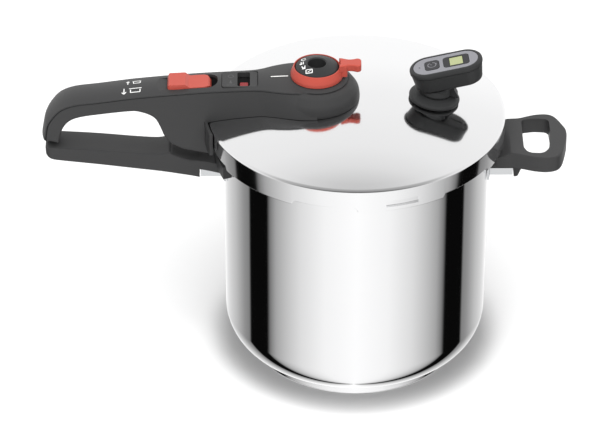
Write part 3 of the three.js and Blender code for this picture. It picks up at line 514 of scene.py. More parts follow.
def helper_outline():
    near = [(112, -26), (124, -27.8), (132, -28.6), (141, -31.6), (150, -34.8), (158, -36), (164, -35.2), (169, -32.4),
            (172.6, -26), (175.2, -16), (177.6, -3)]
    far = [(178.4, 4), (177.9, 11.5), (175.3, 18.7), (172.4, 25.6), (168.6, 31.6), (163, 34.6), (154, 34.2),
           (146, 31.6), (139, 28.8), (131, 28), (112, 26)]
    return [Vector(point) for point in curve_between(near + far, 3)]


def make_helper_handle():
    top = high("helper_handle").z
    bm = slab(helper_outline(), 190.7, top)
    soften(bm, [e for e in level_edges(bm, 190.7) if max(v.co.x for v in e.verts) > 126], 4.2, 5)
    soften(bm, [e for e in level_edges(bm, top) if max(v.co.x for v in e.verts) > 113], 1.6, 4)
    grip = placed("short_handle", bm)
    skirt = sideways(filleted([
        (112, ROOT_LOW),
        (132.7, ROOT_LOW, 0.5),
        (133.4, 172.2, 0.8),
        (136.6, 172.8, 1.6),
        (141, 184, 6),
        (150, 193.5),
        (112, 194),
    ]), -14, 14)
    join(grip, skirt, sector(POT_R + 0.4, POT_R + 8, 0, 14, 190.6, 200))
    hole = slab(filleted([
        (140.8, -18, 8), (144, -26.5, 7), (157, -27.6, 9), (162, -20, 12), (164.6, 8, 14), (164.2, 25.6, 5),
        (152, 27, 20), (140.8, 24.6, 4),
    ], 6), 165, 215)
    cut(
        grip,
        hole,
        sideways([(110, 195), (130, top + 0.2), (130, 215), (110, 215)], -60, 60),
        rod(POT_R + 0.45, 165, 215, sides=ROUND),
        sector(100, POT_R + 2 + GAP, 0, 11.7, 165, 197),
        rod(2.3, 170, 190, 124),
    )
    finished(grip, "charcoal_plastic", "pot", ["helper_handle"])


# ---------- lid ----------
def dome_z(r):
    return RIM_Z + (DOME_TOP - RIM_Z) * (1 - (r / 125.5) ** 2)


def dome_line(r_max, lower, steps, outwards):
    radii = [r_max * k / steps for k in range(steps + 1)]
    if not outwards:
        radii.reverse()
    return [(r, dome_z(r) - lower) for r in radii]


def foot_frame():
    """The timer's foot: its own origin on the dome, and its axis."""
    axis = Vector(JOINTS["timer_lift"]["axis"])
    origin = middle("timer_stud") - 0.8 * axis
    return Matrix.Translation(origin) @ Matrix.Rotation(math.atan2(axis.x, axis.z), 4, "Y")


def make_lid():
    wall, claw, step_h = 1.2, 5.7, 3.6
    bottom = low("lid_shell").z
    r = COLLAR_R
    bm = spun([
        *dome_line(r - 3.4, 0, 24, True),
        (r - 2.0, dome_z(r - 2.2) - 0.02),
        (r - 0.9, RIM_Z - 0.05),
        (r - 0.25, RIM_Z - 0.55),
        (r, RIM_Z - 1.3),
        (r, bottom + 0.8),
        (r - 0.25, bottom + 0.2),
        (r - 0.8, bottom),
        (r - wall - claw, bottom),
        (r - wall - claw, bottom + wall),
        (r - wall, bottom + wall),
        (r - wall, RIM_Z - 2.2),
        (r - wall - 0.9, RIM_Z - 1.3),
        *dome_line(r - 3.4, wall, 24, False),
    ], ROUND, start=math.radians(FIRST_LUG))
    # between the claws the collar is shallower and has no inward lip
    for v in bm.verts:
        if v.co.z < bottom + 1.3 and 17.1 < past_lug(v) < 42.9:
            v.co.z += step_h
            radius = math.hypot(v.co.x, v.co.y)
            if radius < r - wall - 1:
                v.co.xy *= (r - wall - 0.5) / radius
    lid = placed("lid", bm)
    slot = sector(r - 3, r + 2, FIRST_LUG, 6.4, 214.2, 220.2)
    soften(slot, [e for e in slot.edges if abs(e.verts[0].co.z - e.verts[1].co.z) > 4], 1.4, 4)
    cut(lid, slot, rod(5.4, 230, 260, SELECTOR.x), rod(4.3, 230, 260, -66), rod(3.9, 220, 260, -94.5, -2),
        rod(2.7, 220, 260, -107))
    cut(lid, rod(2.7, -8, 8), matrix=foot_frame())
    finished(lid, "satin_steel", "lid", ["lid_shell"])

    r_out = r - wall - 0.5
    seal_low = FLANGE_Z + GAP
    seal = placed("gasket", spun(filleted([
        (112.5, seal_low, 0.4),
        (r_out, seal_low + 0.6, 0.8),
        (r_out, RIM_Z - 3.2, 0.8),
        (r_out - 8, RIM_Z - 0.8, 0.3),
        (r_out - 8.4, RIM_Z - 2.4, 0.3),
        (r_out - 3.4, RIM_Z - 4.4, 1),
        (r_out - 3.4, seal_low + 3.8, 1),
        (112.5, seal_low + 1.6, 0.4),
    ], 3), ROUND))
    finished(seal, "grey_silicone", "lid", ["lid_gasket"])


# ---------- lid handle ----------
# lower line (x, z), upper line (x, z), half-width down, half-width up, belly of the sides
LID_GRIP = [
    (-251.2, 206.4, -262.4, 207.2, 10.5, 9, 0),
    (-250.8, 208, -263.2, 211, 13.4, 12.6, 0),
    (-250, 212.4, -262.1, 218.6, 14.6, 14.4, 0),
    (-248.6, 217.6, -260.4, 226.6, 15, 15.2, 0),
    (-246.2, 223.6, -255.6, 234.6, 15, 15.5, 0),
    (-241, 229.6, -248.4, 242, 15, 15.5, 0),
    (-232, 233.4, -236.6, 246.7, 15, 15.5, 0),
    (-215, 236.2, -217, 249.3, 15, 15.5, 0),
    (-190, 239.1, -191, 253, 15, 15.5, 0),
    (-181.7, 238.3, -181.7, 254.1, 15.2, 15.5, 0),
    (-173.4, 235, -173.4, 255, 15.5, 15.5, 0),
    (-168.2, 230.2, -168.2, 255.5, 15.8, 15.5, 0),
    (-164.4, 222, -164.4, 255.9, 16.1, 15.5, 0),
    (-161.2, 213.8, -161.2, 256.2, 16.4, 15.5, 0),
    (-156, 207.6, -156, 256.6, 16.7, 15.5, 0),
    (-148, 203.2, -148, 257.3, 17.1, 15.5, 0),
    (-138, 200.9, -138, 258.2, 17.8, 15.5, 0),
    (-120, 200.5, -120, 259.4, 21, 15.5, 0),
    (-104, 212, -104, 260.2, 23.6, 15.5, 0),
    (-90, 224, -90, 260.8, 25, 15.8, 0),
    (-80, 229, -80, 261.5, 26, 17, 0),
    (-70, 232, -70, 262.2, 28, 20.5, 1),
    (-58, 234, -58, 262.7, 32, 23.6, 2.4),
    (-46, 236, -46, 262.9, 35, 24.5, 4.2),
    (-33.5, 236, -33.5, 262.9, 36, 24.5, 5.2),
]
SLOT_END = -116.5
POCKET_FLOOR, NOSE_FLOOR, CUT_TOP = 246, 250, 285
COVER_SCREWS = (-226, -182)


def grip_rings(steps, base_gap, top_gap, r_low, r_high, crown, full=False):
    """Rings between the lower line raised by base_gap and the upper line lowered by top_gap."""
    rings = []
    for xl, zl, xh, zh, wl, wh, belly in curve_between(LID_GRIP, steps):
        reach = math.hypot(xh - xl, zh - zl)
        ux, uz = (xh - xl) / reach, (zh - zl) / reach
        start = base_gap if base_gap >= 0 else reach + base_gap
        share = start / reach
        w = wl + (wh - wl) * share
        rings.append(cross_section(xl + ux * start, zl + uz * start, xh - ux * top_gap, zh - uz * top_gap, w, wh,
                                   r_low, r_high, crown, belly if full else 0.0))
    return rings


def lid_room():
    """The space that the lid itself takes under its handle."""
    return spun([*dome_line(COLLAR_R + 0.6, -GAP, 24, True), (COLLAR_R + 0.6, 190), (0, 190)], ROUND)


def seam_z(x):
    """Height of the handle's upper line at x."""
    for a, b in zip(LID_GRIP, LID_GRIP[1:]):
        if a[2] <= x <= b[2]:
            return a[3] + (b[3] - a[3]) * (x - a[2]) / (b[2] - a[2])
    return LID_GRIP[-1][3]


def make_handle_body(shape):
    seam_top = 262.2
    body = placed("lid_handle", lofted(grip_rings(3, 0, shape.seam / MM + 0.5, 3.2, 0.9, 0, True)))
    nose = spun(filleted([
        (0, 236),
        (33.5, 236, 2.4),
        (36.2, 246, 9),
        (35.4, 253, 10),
        (30.6, 259.8, 8),
        (27.4, seam_top, 0.5),
        (0, seam_top),
    ], 7), SIDES, SELECTOR.x)
    cheeks = sector(COLLAR_R + 0.8, COLLAR_R + 3.6, 180, 17, 210, RIM_Z + 1, 24)
    soften(cheeks, level_edges(cheeks, RIM_Z + 1), 0.8, 3)
    join(body, nose, cheeks)
    w = 12.5
    cut(
        body,
        lid_room(),
        box(-171, -50, -w, w, POCKET_FLOOR, CUT_TOP),
        box(-154, -130.5, -w, w, 195, POCKET_FLOOR + 1),
        box(-137, -118, -7, 7, 195, POCKET_FLOOR + 1),
        rod(19.5, NOSE_FLOOR, CUT_TOP, SELECTOR.x, sides=96),
        rod(10.6, 238, CUT_TOP, SELECTOR.x),
        rod(7.2, 236, CUT_TOP, -66),
        rod(6.6, 230, CUT_TOP, -94.5, -2),
        rod(2.5, 225, 244.4, -107),
        *[rod(1.9, 230, CUT_TOP, x) for x in COVER_SCREWS],
        *[rod(3.6, 225, seam_z(x) - 10.2, x) for x in COVER_SCREWS],
    )
    finished(body, "charcoal_plastic", "lid", ["handle_body"])


def slot_outline(margin):
    w = 10 + margin
    return filleted([(-158.5 - margin, -w, 6), (SLOT_END, -w, 8.5), (SLOT_END, w, 8.5), (-158.5 - margin, w, 6)], 8)


def make_handle_cover(shape):
    cover = placed("lid_handle_cover", lofted(grip_rings(3, -shape.seam / MM, 0, 0.45, 0.9, shape.crown / MM)))
    nose = spun(filleted([
        (0, 262.6),
        (27.1, 262.6, 0.4),
        (24.2, NOSE_TOP - 0.5, 2),
        (22.6, NOSE_TOP, 1),
        (0, NOSE_TOP),
    ], 7), SIDES, SELECTOR.x)
    join(cover, nose)
    scoop = sideways([(-179, 259.8), (-172, 257.9), (-158.6, 256.6), (-158.6, CUT_TOP), (-179, CUT_TOP)], -9.6, 9.6)
    cut(
        cover,
        slab(slot_outline(0.4), 250, CUT_TOP),
        scoop,
        slab(block_outline(-113.3, -82.7, -12.3, 12.3, 2.2), 250, CUT_TOP),
        rod(12.3, 250, CUT_TOP, SELECTOR.x, sides=96),
        *[rod(1.6, 240, seam_z(x) + 1.2, x) for x in COVER_SCREWS],
    )
    finished(cover, "charcoal_plastic", "lid", ["handle_cover"])
    return cover


def make_window():
    plate = slab(block_outline(-113, -83, -12, 12, 2.5), 257, 261.7, 0.4)
    piece = placed("handle_window", plate)
    cut(piece, slab(block_outline(-100, -89.5, -10.8, 10.8, 1.5), 250, CUT_TOP))
    finished(piece, "charcoal_plastic", "lid", ["window_panel"])
    marks = ring_mark(-105.6, 4.6, 2.2, 0.5) + arrow(-105.6, -4.6, -math.pi / 2, 2.4)
    marks += [stroke((-109, -9.2), (-102.4, -9.2), 0.5)]
    printed("window_marks", marks, piece, "lid", "faint_print")
    flag_low, flag_high = low("pin_flag"), high("pin_flag")
    flag = slab(block_outline(flag_low.x, flag_high.x, flag_low.y, flag_high.y, 1), flag_low.z, flag_high.z, 0.3)
    piece = placed("pressure_flag", flag)
    cut(piece, rod(2.3, 240, 243.7, -94.5, -2))
    finished(piece, "red_flag", "indicator", ["pin_flag"])


# ---------- marks ----------
def stroke(a, b, width):
    """A short printed line from a to b as an outline."""
    start, end = Vector(a), Vector(b)
    along = (end - start).normalized()
    side = Vector((-along.y, along.x)) * width / 2
    return [start - side, end - side, end + side, start + side]


def gathered(outlines, z0, z1, divided=False):
    """One mesh with a thin slab over each outline, whose long edges can be divided."""
    bm = bmesh.new()
    for outline in outlines:
        part = slab(outline, z0, z1)
        if divided:
            long_edges = [e for e in part.edges if e.calc_length() > 1.5]
            bmesh.ops.subdivide_edges(part, edges=long_edges, cuts=2, use_grid_fill=True)
        mesh = bpy.data.meshes.new("part")
        part.to_mesh(mesh)
        part.free()
        bm.from_mesh(mesh)
        bpy.data.meshes.remove(mesh)
    return bm


def printed(name, outlines, carrier, body, look="print_white"):
    """Printed marks laid on the top of a piece, a coat of paint thick."""
    tree = BVHTree.FromObject(carrier, bpy.context.evaluated_depsgraph_get())
    bm = gathered(outlines, 0, 1, True)
    for v in bm.verts:
        hit = tree.ray_cast(Vector((v.co.x * MM, v.co.y * MM, 0.5)), Vector((0, 0, -1)))[0]
        v.co.z = hit.z / MM + (PAINT if v.co.z > 0.5 else -0.2)
    piece = placed(name, bm)
    finished(piece, look, body)


def arrow(x, y, turn, size):
    """A small arrow that points along +X before it is turned."""
    lines = [((-1, 0), (1, 0)), ((1, 0), (0.35, 0.5)), ((1, 0), (0.35, -0.5))]
    spin = Matrix.Rotation(turn, 2)
    at = Vector((x, y))
    return [stroke(at + spin @ Vector(a) * size, at + spin @ Vector(b) * size, 0.8) for a, b in lines]


def lid_symbol(x, y, size):
    """A small pot seen from the side: an open box with a lid line."""
    points = [((-1, 0.35), (-1, -0.6)), ((-1, -0.6), (1, -0.6)), ((1, -0.6), (1, 0.35)), ((-1.3, 0.7), (1.3, 0.7))]
    at = Vector((x, y))
    return [stroke(at + Vector(a) * size, at + Vector(b) * size, 0.8) for a, b in points]


def ring_mark(x, y, radius, width, start=0, sweep=360, steps=20):
    angles = [math.radians(start + sweep * k / steps) for k in range(steps + 1)]
    points = [Vector((x + radius * math.cos(a), y + radius * math.sin(a))) for a in angles]
    return [stroke(a, b, width) for a, b in zip(points, points[1:])]


def make_handle_marks(cover):
    marks = [stroke((-72, 0), (-57.6, 0), 1.1)]
    marks += arrow(-192, 6, math.pi / 2, 2.6) + lid_symbol(-184.5, 6, 2.8)
    marks += arrow(-195, -6.5, -math.pi / 2, 3.6) + lid_symbol(-185.5, -6.5, 4.0)
    printed("handle_marks", marks, cover, "lid")


# ---------- selector ----------
def make_selector():
    z = NOSE_TOP + GAP
    ring = placed("dial_ring", spun(filleted([
        (14.6, z),
        (22, z, 0.6),
        (22, z + 3, 2),
        (21.2, z + 5.4, 3),
        (19.6, z + 9.2, 0.5),
        (18.8, z + 9.5, 0.3),
        (18.8, z + 3.4),
        (14.6, z + 3.4),
    ], 5), SIDES, SELECTOR.x))
    half = [(14, 7.4), (21, 6.6, 6), (27, 4.4, 9), (31, 5.2, 6), (33.8, 6.4, 2.5), (36.4, 5.4, 1.5), (37.2, 3.4, 2)]
    plan = filleted([(SELECTOR.x + x, -y, *r) for x, y, *r in half]
                    + [(SELECTOR.x + x, y, *r) for x, y, *r in reversed(half)], 5)
    lever = placed("lever", slab(plan, z + 6.4, z + 13, 0.9, 0.9))
    cut(lever, rod(19.9, z - 5, z + 25, SELECTOR.x, sides=SIDES))
    neck_plan = block_outline(SELECTOR.x + 14, SELECTOR.x + 25.5, -6.1, 6.1, 1.2)
    neck = placed("neck", slab(neck_plan, z + 2, z + 11.8, 0.6))
    cut(neck, rod(19.7, z - 5, z + 25, SELECTOR.x, sides=SIDES))
    combine(ring, lever, "UNION")
    combine(ring, neck, "UNION")
    finished(ring, "red_plastic", "selector", ["selector_ring"])

    top = z + 9.6
    cap_low = NOSE_TOP - 2.3
    cap = placed("dial_cap", spun(filleted([
        (7.6, top + 2.1, 0.3),
        (8.6, top + 2.9, 0.5),
        (13, top + 1.6, 12),
        (17.4, top - 0.1, 1.5),
        (18.4, top - 1.6, 1),
        (18.4, z + 3.7, 0.3),
        (14.2, z + 3.7),
        (14.2, z),
        (11.9, z),
        (11.9, NOSE_TOP - 5),
        (13.6, NOSE_TOP - 5.6),
        (13.6, NOSE_TOP - 7.4),
        (9.2, NOSE_TOP - 7.4),
        (9.2, cap_low),
        (4.4, cap_low),
        (4.4, cap_low + 1.5),
        (7.6, cap_low + 1.5),
    ], 4), SIDES, SELECTOR.x))
    finished(cap, "dark_plastic", "selector", ["selector_cap"])
    marks = []
    for degrees, kind in ((146, 0), (176, 1), (206, 1), (240, 2)):
        a = math.radians(degrees)
        x, y = SELECTOR.x + 13.2 * math.cos(a), 13.2 * math.sin(a)
        if kind == 0:
            marks += ring_mark(x, y, 1.9, 0.75, 30, 300, 12)
        elif kind == 1:
            marks += arrow(x, y, a + math.pi / 2, 2.1)
            marks += [stroke((x + 1.8, y - 2.1), (x + 1.8, y + 2.1), 0.7)]
        else:
            corners = [(x - 2.6, y - 1.9), (x + 2.6, y - 1.9), (x + 2.6, y + 1.9), (x - 2.6, y + 1.9)]
            marks += [stroke(corners[i - 1], corners[i], 0.7) for i in range(4)]
            marks += [stroke((x - 1.2, y - 0.8), (x + 1.2, y + 0.8), 0.6)]
    printed("selector_marks", marks, cap, "selector")


# ---------- lock ----------
def make_lock():
    x0, x1, w = -158.5, -122.5, 10
    profile = filleted([
        (x0, 254.6),
        (x1, 254.6),
        (x1, 258.8, 1.4),
        (x1 - 2.2, 260.5, 2),
        (-136, 259.9, 8),
        (-140, 259.4, 4),
        (-143.6, 262.6, 1.4),
        (x0 + 1.4, 261.9, 1.2),
        (x0, 259.6, 1.2),
    ], 4)
    button = placed("lock_slider", sideways(profile, -w, w))
    plan = filleted([(x0, -w, 2.5), (x1, -w, 6.5), (x1, w, 6.5), (x0, w, 2.5)], 6)
    combine(button, placed("plan", slab(plan, 250, CUT_TOP)), "INTERSECT")
    join(
        button,
        box(x0 - 3, x1 + 0.5, -12, 12, 252.4, 254.3),
        slab(block_outline(x0 + 1, x1 - 1, -w + 1, w - 1, 5), 253, 255.5),
        *[rod(1.5, 248, 253, x) for x in (-150, -125)],
    )
    finished(button, "red_plastic", "lock", ["lock_button"], 25)


# ---------- timer ----------
TIMER_L, TIMER_W, TIMER_H = 62, 32, 19.5
SEAM_Z = -4.4
DOOR_X, DOOR_R = 14, 10.6
BUTTON = (-11.6, 6, 7, 3)  # x, half-width, half-depth, corner
LENS = (8.9, 10.8, 7.8, 3)


def timer_frame():
    """The timer's face: +X towards the display end, +Z out of the face."""
    normal = -Vector(JOINTS["button_press"]["axis"])
    yaw = math.atan2(-normal.y, -normal.x)
    tilt = math.acos(normal.z)
    face = middle("timer_faceplate") + normal * 0.85
    return Matrix.Translation(face) @ Matrix.Rotation(yaw, 4, "Z") @ Matrix.Rotation(-tilt, 4, "Y")


def capsule(inset):
    length, w = TIMER_L / 2 - inset, TIMER_W / 2 - inset
    r = w - 0.05
    return filleted([(-length, -w, r), (length, -w, r), (length, w, r), (-length, w, r)], 18)


def capsule_ring(inset, z):
    return [(x, y, z) for x, y in capsule(inset)]


def pad(x, half_w, half_d, r, grow=0.0):
    return block_outline(x - half_w - grow, x + half_w + grow, -half_d - grow, half_d + grow, r + grow)


def make_timer():
    at = timer_frame()
    bottom = -TIMER_H
    case = placed("timer_shell", lofted([
        capsule_ring(5.0, bottom),
        capsule_ring(4.1, bottom + 0.3),
        capsule_ring(3.2, bottom + 1.0),
        capsule_ring(2.7, bottom + 2.0),
        capsule_ring(0.7, SEAM_Z - GAP - 0.6),
        capsule_ring(0.8, SEAM_Z - GAP - 0.15),
        capsule_ring(1.2, SEAM_Z - GAP),
    ]), at)
    inside = lofted([capsule_ring(5.2, bottom + 2.2), capsule_ring(3.1, SEAM_Z + 1)])
    cut(case, inside, rod(DOOR_R + GAP, bottom - 1, bottom + 1.4, DOOR_X),
        rod(DOOR_R - 1.2, bottom - 1, bottom + 4, DOOR_X), matrix=at)
    finished(case, "dark_plastic", "timer", ["timer_case"])

    bezel = placed("timer_rim", lofted([
        capsule_ring(1.0, SEAM_Z),
        capsule_ring(0.35, SEAM_Z + 0.15),
        capsule_ring(0.05, SEAM_Z + 0.6),
        capsule_ring(0, SEAM_Z + 1.4),
        capsule_ring(0, -1.9),
        capsule_ring(0.25, -1.1),
        capsule_ring(0.8, -0.5),
        capsule_ring(1.5, -0.1),
        capsule_ring(2.2, 0),
        capsule_ring(2.8, 0),
    ]), at)
    cut(bezel, slab(capsule(3.2), -1.8, 1), slab(capsule(4.6), SEAM_Z - 1, 1), matrix=at)
    finished(bezel, "dark_plastic", "timer", ["timer_bezel"])

    plate = placed("timer_face", slab(capsule(3.5), -1.5, -0.2, 0.15), at)
    cut(plate, slab(pad(*BUTTON, GAP), -3, 1), slab(pad(*LENS, GAP), -3, 1),
        rod(0.7, -3, 1, -22.4), matrix=at)
    finished(plate, "grey_plastic", "timer", ["timer_faceplate"])

    lens = placed("timer_window", slab(pad(*LENS), -1.5, -0.1, 0.2), at)
    cut(lens, slab(pad(LENS[0], 5.8, 6.1, 0.6), -3, 1), matrix=at)
    finished(lens, "gloss_black", "timer", ["timer_lens"])

    display = placed("timer_screen", slab(pad(LENS[0], 5.5, 5.8, 0.3), -2.6, -0.35, 0.1), at)
    finished(display, "display_glass", "timer", ["timer_display"])

    button = placed("timer_key", slab(pad(*BUTTON), -1.6, 0.2, 0.35), at)
    join(button, rod(1.6, -2.2, -1, BUTTON[0]), matrix=at)
    finished(button, "button_rubber", "push_button", ["timer_button"])
    x = BUTTON[0]
    symbol = ring_mark(x, 0, 3.5, 0.55, 120, 320, 24) + [
        stroke((x, 0), (x - 1.7, 1.4), 0.45),
        stroke((x + 2.5, 1.6), (x + 4.3, 1.4), 0.6),
    ]
    finished(placed("button_mark", gathered(symbol, 0.1, 0.26), at), "grey_plastic", "push_button")

    door = placed("timer_door", rod(DOOR_R, bottom, bottom + 1.1, DOOR_X, sides=96), at)
    join(door, rod(DOOR_R - 1.6, bottom + 0.6, bottom + 3.4, DOOR_X, sides=96), matrix=at)
    cut(door, box(DOOR_X - 6, DOOR_X + 6, -0.9, 0.9, bottom - 1, bottom + 1), matrix=at)
    finished(door, "dark_plastic", "door", ["battery_door"])


def make_timer_foot():
    knob_top = 10
    at = foot_frame()
    foot = placed("lid_foot", spun(filleted([
        (0, 0.4),
        (14, 0.35),
        (20, 0, 0.4),
        (21.3, 0.8, 0.9),
        (21.5, 2.6, 1),
        (20.4, 4.2, 2.5),
        (16.5, 5.6, 8),
        (11, 6.7, 8),
        (8, 6.9, 0.5),
        (8, knob_top, 0.8),
        (0, knob_top),
    ], 5), SIDES), at)
    cut(foot, rod(2.4, 0, 8.2), matrix=at)
    finished(foot, "dark_plastic", "lid", ["timer_foot"])

    clip = placed("timer_neck", spun(filleted([
        (0, knob_top + 0.4),
        (8.4, knob_top + 0.4),
        (8.4, 7.1),
        (13, 6.9, 0.8),
        (14, 8.6, 2),
        (13, 12.5, 5),
        (13.4, 20),
        (0, 20),
    ], 5), SIDES), at)
    tab = sideways(filleted([
        (9.5, 8.2), (13, 7.2, 1), (18.6, 6, 1), (19.6, 6.6, 0.6), (17.2, 10.4, 2), (15.2, 13, 3), (14.4, 19), (9.5, 19),
    ], 4), -5, 5)
    join(clip, tab, matrix=at)
    cut(clip, box(-60, 60, -40, 40, -TIMER_H - GAP, 60), matrix=timer_frame())
    finished(clip, "dark_plastic", "timer", ["timer_clip"])


# ---------- small fittings that stay as the frame has them ----------
FITTINGS = {
    "plain_steel": ["long_bracket", "pot_handle_screw", "helper_bracket", "helper_handle_screw", "handle_screw",
                    "cover_screw_1", "cover_screw_2", "valve_body", "valve_nut", "steam_guard", "valve_spring",
                    "safety_valve_body", "safety_valve_nut", "safety_ball", "safety_spring", "indicator_bush",
                    "indicator_nut", "pressure_pin", "lock_bolt", "timer_stud", "timer_nut", "timer_battery"],
    "cast_aluminium": ["base_core"],
    "brass_part": ["valve_plunger"],
    "grey_silicone": ["pin_seal"],
    "circuit_board": ["timer_board"],
    "dark_plastic": ["timer_buzzer"],
}


def make_fittings():
    for look, nodes in FITTINGS.items():
        for name in nodes:
            mesh = frame["nodes"][name].data
            mesh.materials.clear()
            mesh.materials.append(finish(look))


# ---------- studio ----------
def area_light(name, place, target, size, power):
    data = bpy.data.lights.new(name, "AREA")
    data.shape = "RECTANGLE"
    data.size, data.size_y = size
    data.energy = power
    lamp = bpy.data.objects.new(name, data)
    lamp.location = place
    lamp.rotation_euler = (Vector(target) - Vector(place)).to_track_quat("-Z", "Y").to_euler()
    lamp.visible_glossy = False
    bpy.context.scene.collection.objects.link(lamp)


# brightness of the studio walls and ceiling by height (0 level, 1 straight up)
SKY = [(0.0, 1.09), (0.31, 1.085), (0.5, 1.0), (0.61, 0.98), (0.76, 0.93), (0.82, 0.84), (0.855, 0.7), (0.9, 0.5),
       (1.0, 0.35)]
FRONT_SKY = 0.32  # share of that brightness in front of the cooker, behind the camera
# brightness of the white table with its two black strips, by turn (0 to the front, 1 to the back)
GROUND = [(0.0, 1.13), (0.156, 1.03), (0.281, 0.815), (0.37, 0.57), (0.42, 0.42), (0.455, 0.22), (0.475, 0.003),
          (0.596, 0.003), (0.61, 0.24), (0.653, 0.317), (0.737, 0.565), (0.861, 0.81), (1.0, 1.2)]


def greys(tree, value, stops):
    """A grey looked up along a list of (position, brightness)."""
    curve = tree.nodes.new("ShaderNodeFloatCurve")
    tree.links.new(value, curve.inputs["Value"])
    line = curve.mapping.curves[0]
    brightest = max(level for _, level in stops)
    line.points[0].location = (stops[0][0], stops[0][1] / brightest)
    line.points[1].location = (stops[-1][0], stops[-1][1] / brightest)
    for position, level in stops[1:-1]:
        line.points.new(position, level / brightest)
    for point in line.points:
        point.handle_type = "VECTOR"
    curve.mapping.update()
    scale = tree.nodes.new("ShaderNodeMath")
    scale.operation = "MULTIPLY"
    tree.links.new(curve.outputs[0], scale.inputs[0])
    scale.inputs[1].default_value = brightest
    return scale.outputs[0]


def make_studio(studio):
    scene = bpy.context.scene
    scene.view_settings.view_transform = "Standard"
    world = bpy.data.worlds.new("studio")
    scene.world = world
    world.use_nodes = True
    tree = world.node_tree
    node = node_maker(tree)
    direction = node("ShaderNodeSeparateXYZ", {"Vector": node("ShaderNodeTexCoord").outputs["Generated"]})
    height = node("ShaderNodeMapRange", {"Value": direction.outputs["Z"]}, From_Min=0.0, From_Max=1.0)
    sky = greys(tree, height.outputs["Result"], SKY)
    sideways_part = node("ShaderNodeMath", {0: direction.outputs["X"]}, operation="ABSOLUTE")
    forward = node("ShaderNodeMath", {0: direction.outputs["Y"]}, operation="MULTIPLY")
    forward.inputs[1].default_value = -1
    turn = node("ShaderNodeMath", {0: sideways_part.outputs[0], 1: forward.outputs[0]}, operation="ARCTAN2")
    share = node("ShaderNodeMath", {0: turn.outputs[0]}, operation="DIVIDE")
    share.inputs[1].default_value = math.pi
    ground = greys(tree, share.outputs[0], GROUND)
    below = node("ShaderNodeMath", {0: direction.outputs["Z"]}, operation="LESS_THAN")
    below.inputs[1].default_value = 0
    to_back = node("ShaderNodeMapRange", {"Value": direction.outputs["Y"]}, From_Min=-0.25, From_Max=0.02,
                   To_Min=FRONT_SKY, To_Max=1.0)
    lit_sky = node("ShaderNodeMath", {0: sky, 1: to_back.outputs["Result"]}, operation="MULTIPLY")
    mix = node("ShaderNodeMix", {"Factor": below.outputs[0]}, data_type="RGBA")
    tree.links.new(lit_sky.outputs[0], mix.inputs["A"])
    tree.links.new(ground, mix.inputs["B"])
    tree.links.new(mix.outputs["Result"], tree.nodes["Background"].inputs["Color"])

    bm = bmesh.new()
    bmesh.ops.create_grid(bm, x_segments=8, y_segments=8, size=4000)
    floor = placed("floor", bm)
    floor.data.materials.append(finish("floor_white"))
    floor.visible_glossy = False

    bm = bmesh.new()
    bmesh.ops.create_circle(bm, cap_ends=True, segments=96, radius=124)
    bmesh.ops.translate(bm, verts=bm.verts, vec=(0, 2, 24))
    shade = placed("shade", bm)
    shade.data.materials.append(finish("shade_black"))
    shade.visible_camera = False
    shade.visible_glossy = False

    area_light("key", (0.0, -1.9, 3.4), (0, 0, 0.1), (5.0, 4.0), studio.key_power)

    target = Vector((-0.0476, 0, 0.117))
    e, a = studio.elevation, studio.azimuth
    away = Vector((math.sin(a) * math.cos(e), -math.cos(a) * math.cos(e), math.sin(e)))
    data = bpy.data.cameras.new("camera")
    data.lens = studio.lens
    data.sensor_width = 36
    data.clip_end = 30
    camera = bpy.data.objects.new("camera", data)
    camera.location = target + away * studio.distance
    camera.rotation_euler = (-away).to_track_quat("-Z", "Y").to_euler()
    scene.collection.objects.link(camera)
    scene.camera = camera


# ---------- add-on ----------
class CookerShape(bpy.types.PropertyGroup):
    """Sizes of the visible pieces that can be changed."""
    crown: bpy.props.FloatProperty(
        name="Handle crown", description="How far the lid handle's top bulges between its edges",
        default=0.002, min=0.0, max=0.0021, precision=4, unit="LENGTH")
    seam: bpy.props.FloatProperty(
        name="Seam depth", description="How far below its upper edge the lid handle's cover begins",
        default=0.0012, min=0.0008, max=0.002, precision=4, unit="LENGTH")


class CookerLook(bpy.types.PropertyGroup):
    """Colours and polish."""
    handle_colour: bpy.props.FloatVectorProperty(
        name="Handles", description="Colour of the handles' plastic", subtype="COLOR", size=3,
        default=(0.038, 0.038, 0.0385), min=0.0, max=1.0)
    timer_colour: bpy.props.FloatVectorProperty(
        name="Timer and dial cap", description="Colour of the darker plastic", subtype="COLOR", size=3,
        default=(0.026, 0.0265, 0.027), min=0.0, max=1.0)
    red_colour: bpy.props.FloatVectorProperty(
        name="Dial and lock", description="Colour of the dial ring and the lock's slider", subtype="COLOR", size=3,
        default=(0.42, 0.068, 0.048), min=0.0, max=1.0)
    face_colour: bpy.props.FloatVectorProperty(
        name="Timer face", description="Colour of the timer's faceplate", subtype="COLOR", size=3,
        default=(0.22, 0.22, 0.24), min=0.0, max=1.0)
    screen_colour: bpy.props.FloatVectorProperty(
        name="Timer screen", description="Colour of the timer's display", subtype="COLOR", size=3,
        default=(0.34, 0.37, 0.19), min=0.0, max=1.0)
    steel_colour: bpy.props.FloatVectorProperty(
        name="Steel", description="Tint of the pot and the lid", subtype="COLOR", size=3,
        default=(0.87, 0.87, 0.875), min=0.0, max=1.0)
    pot_roughness: bpy.props.FloatProperty(
        name="Pot roughness", description="How much the pot's polish blurs reflections", subtype="FACTOR",
        default=0.05, min=0.02, max=1.0)
    lid_roughness: bpy.props.FloatProperty(
        name="Lid roughness", description="How much the lid's polish blurs reflections", subtype="FACTOR",
        default=0.085, min=0.02, max=1.0)


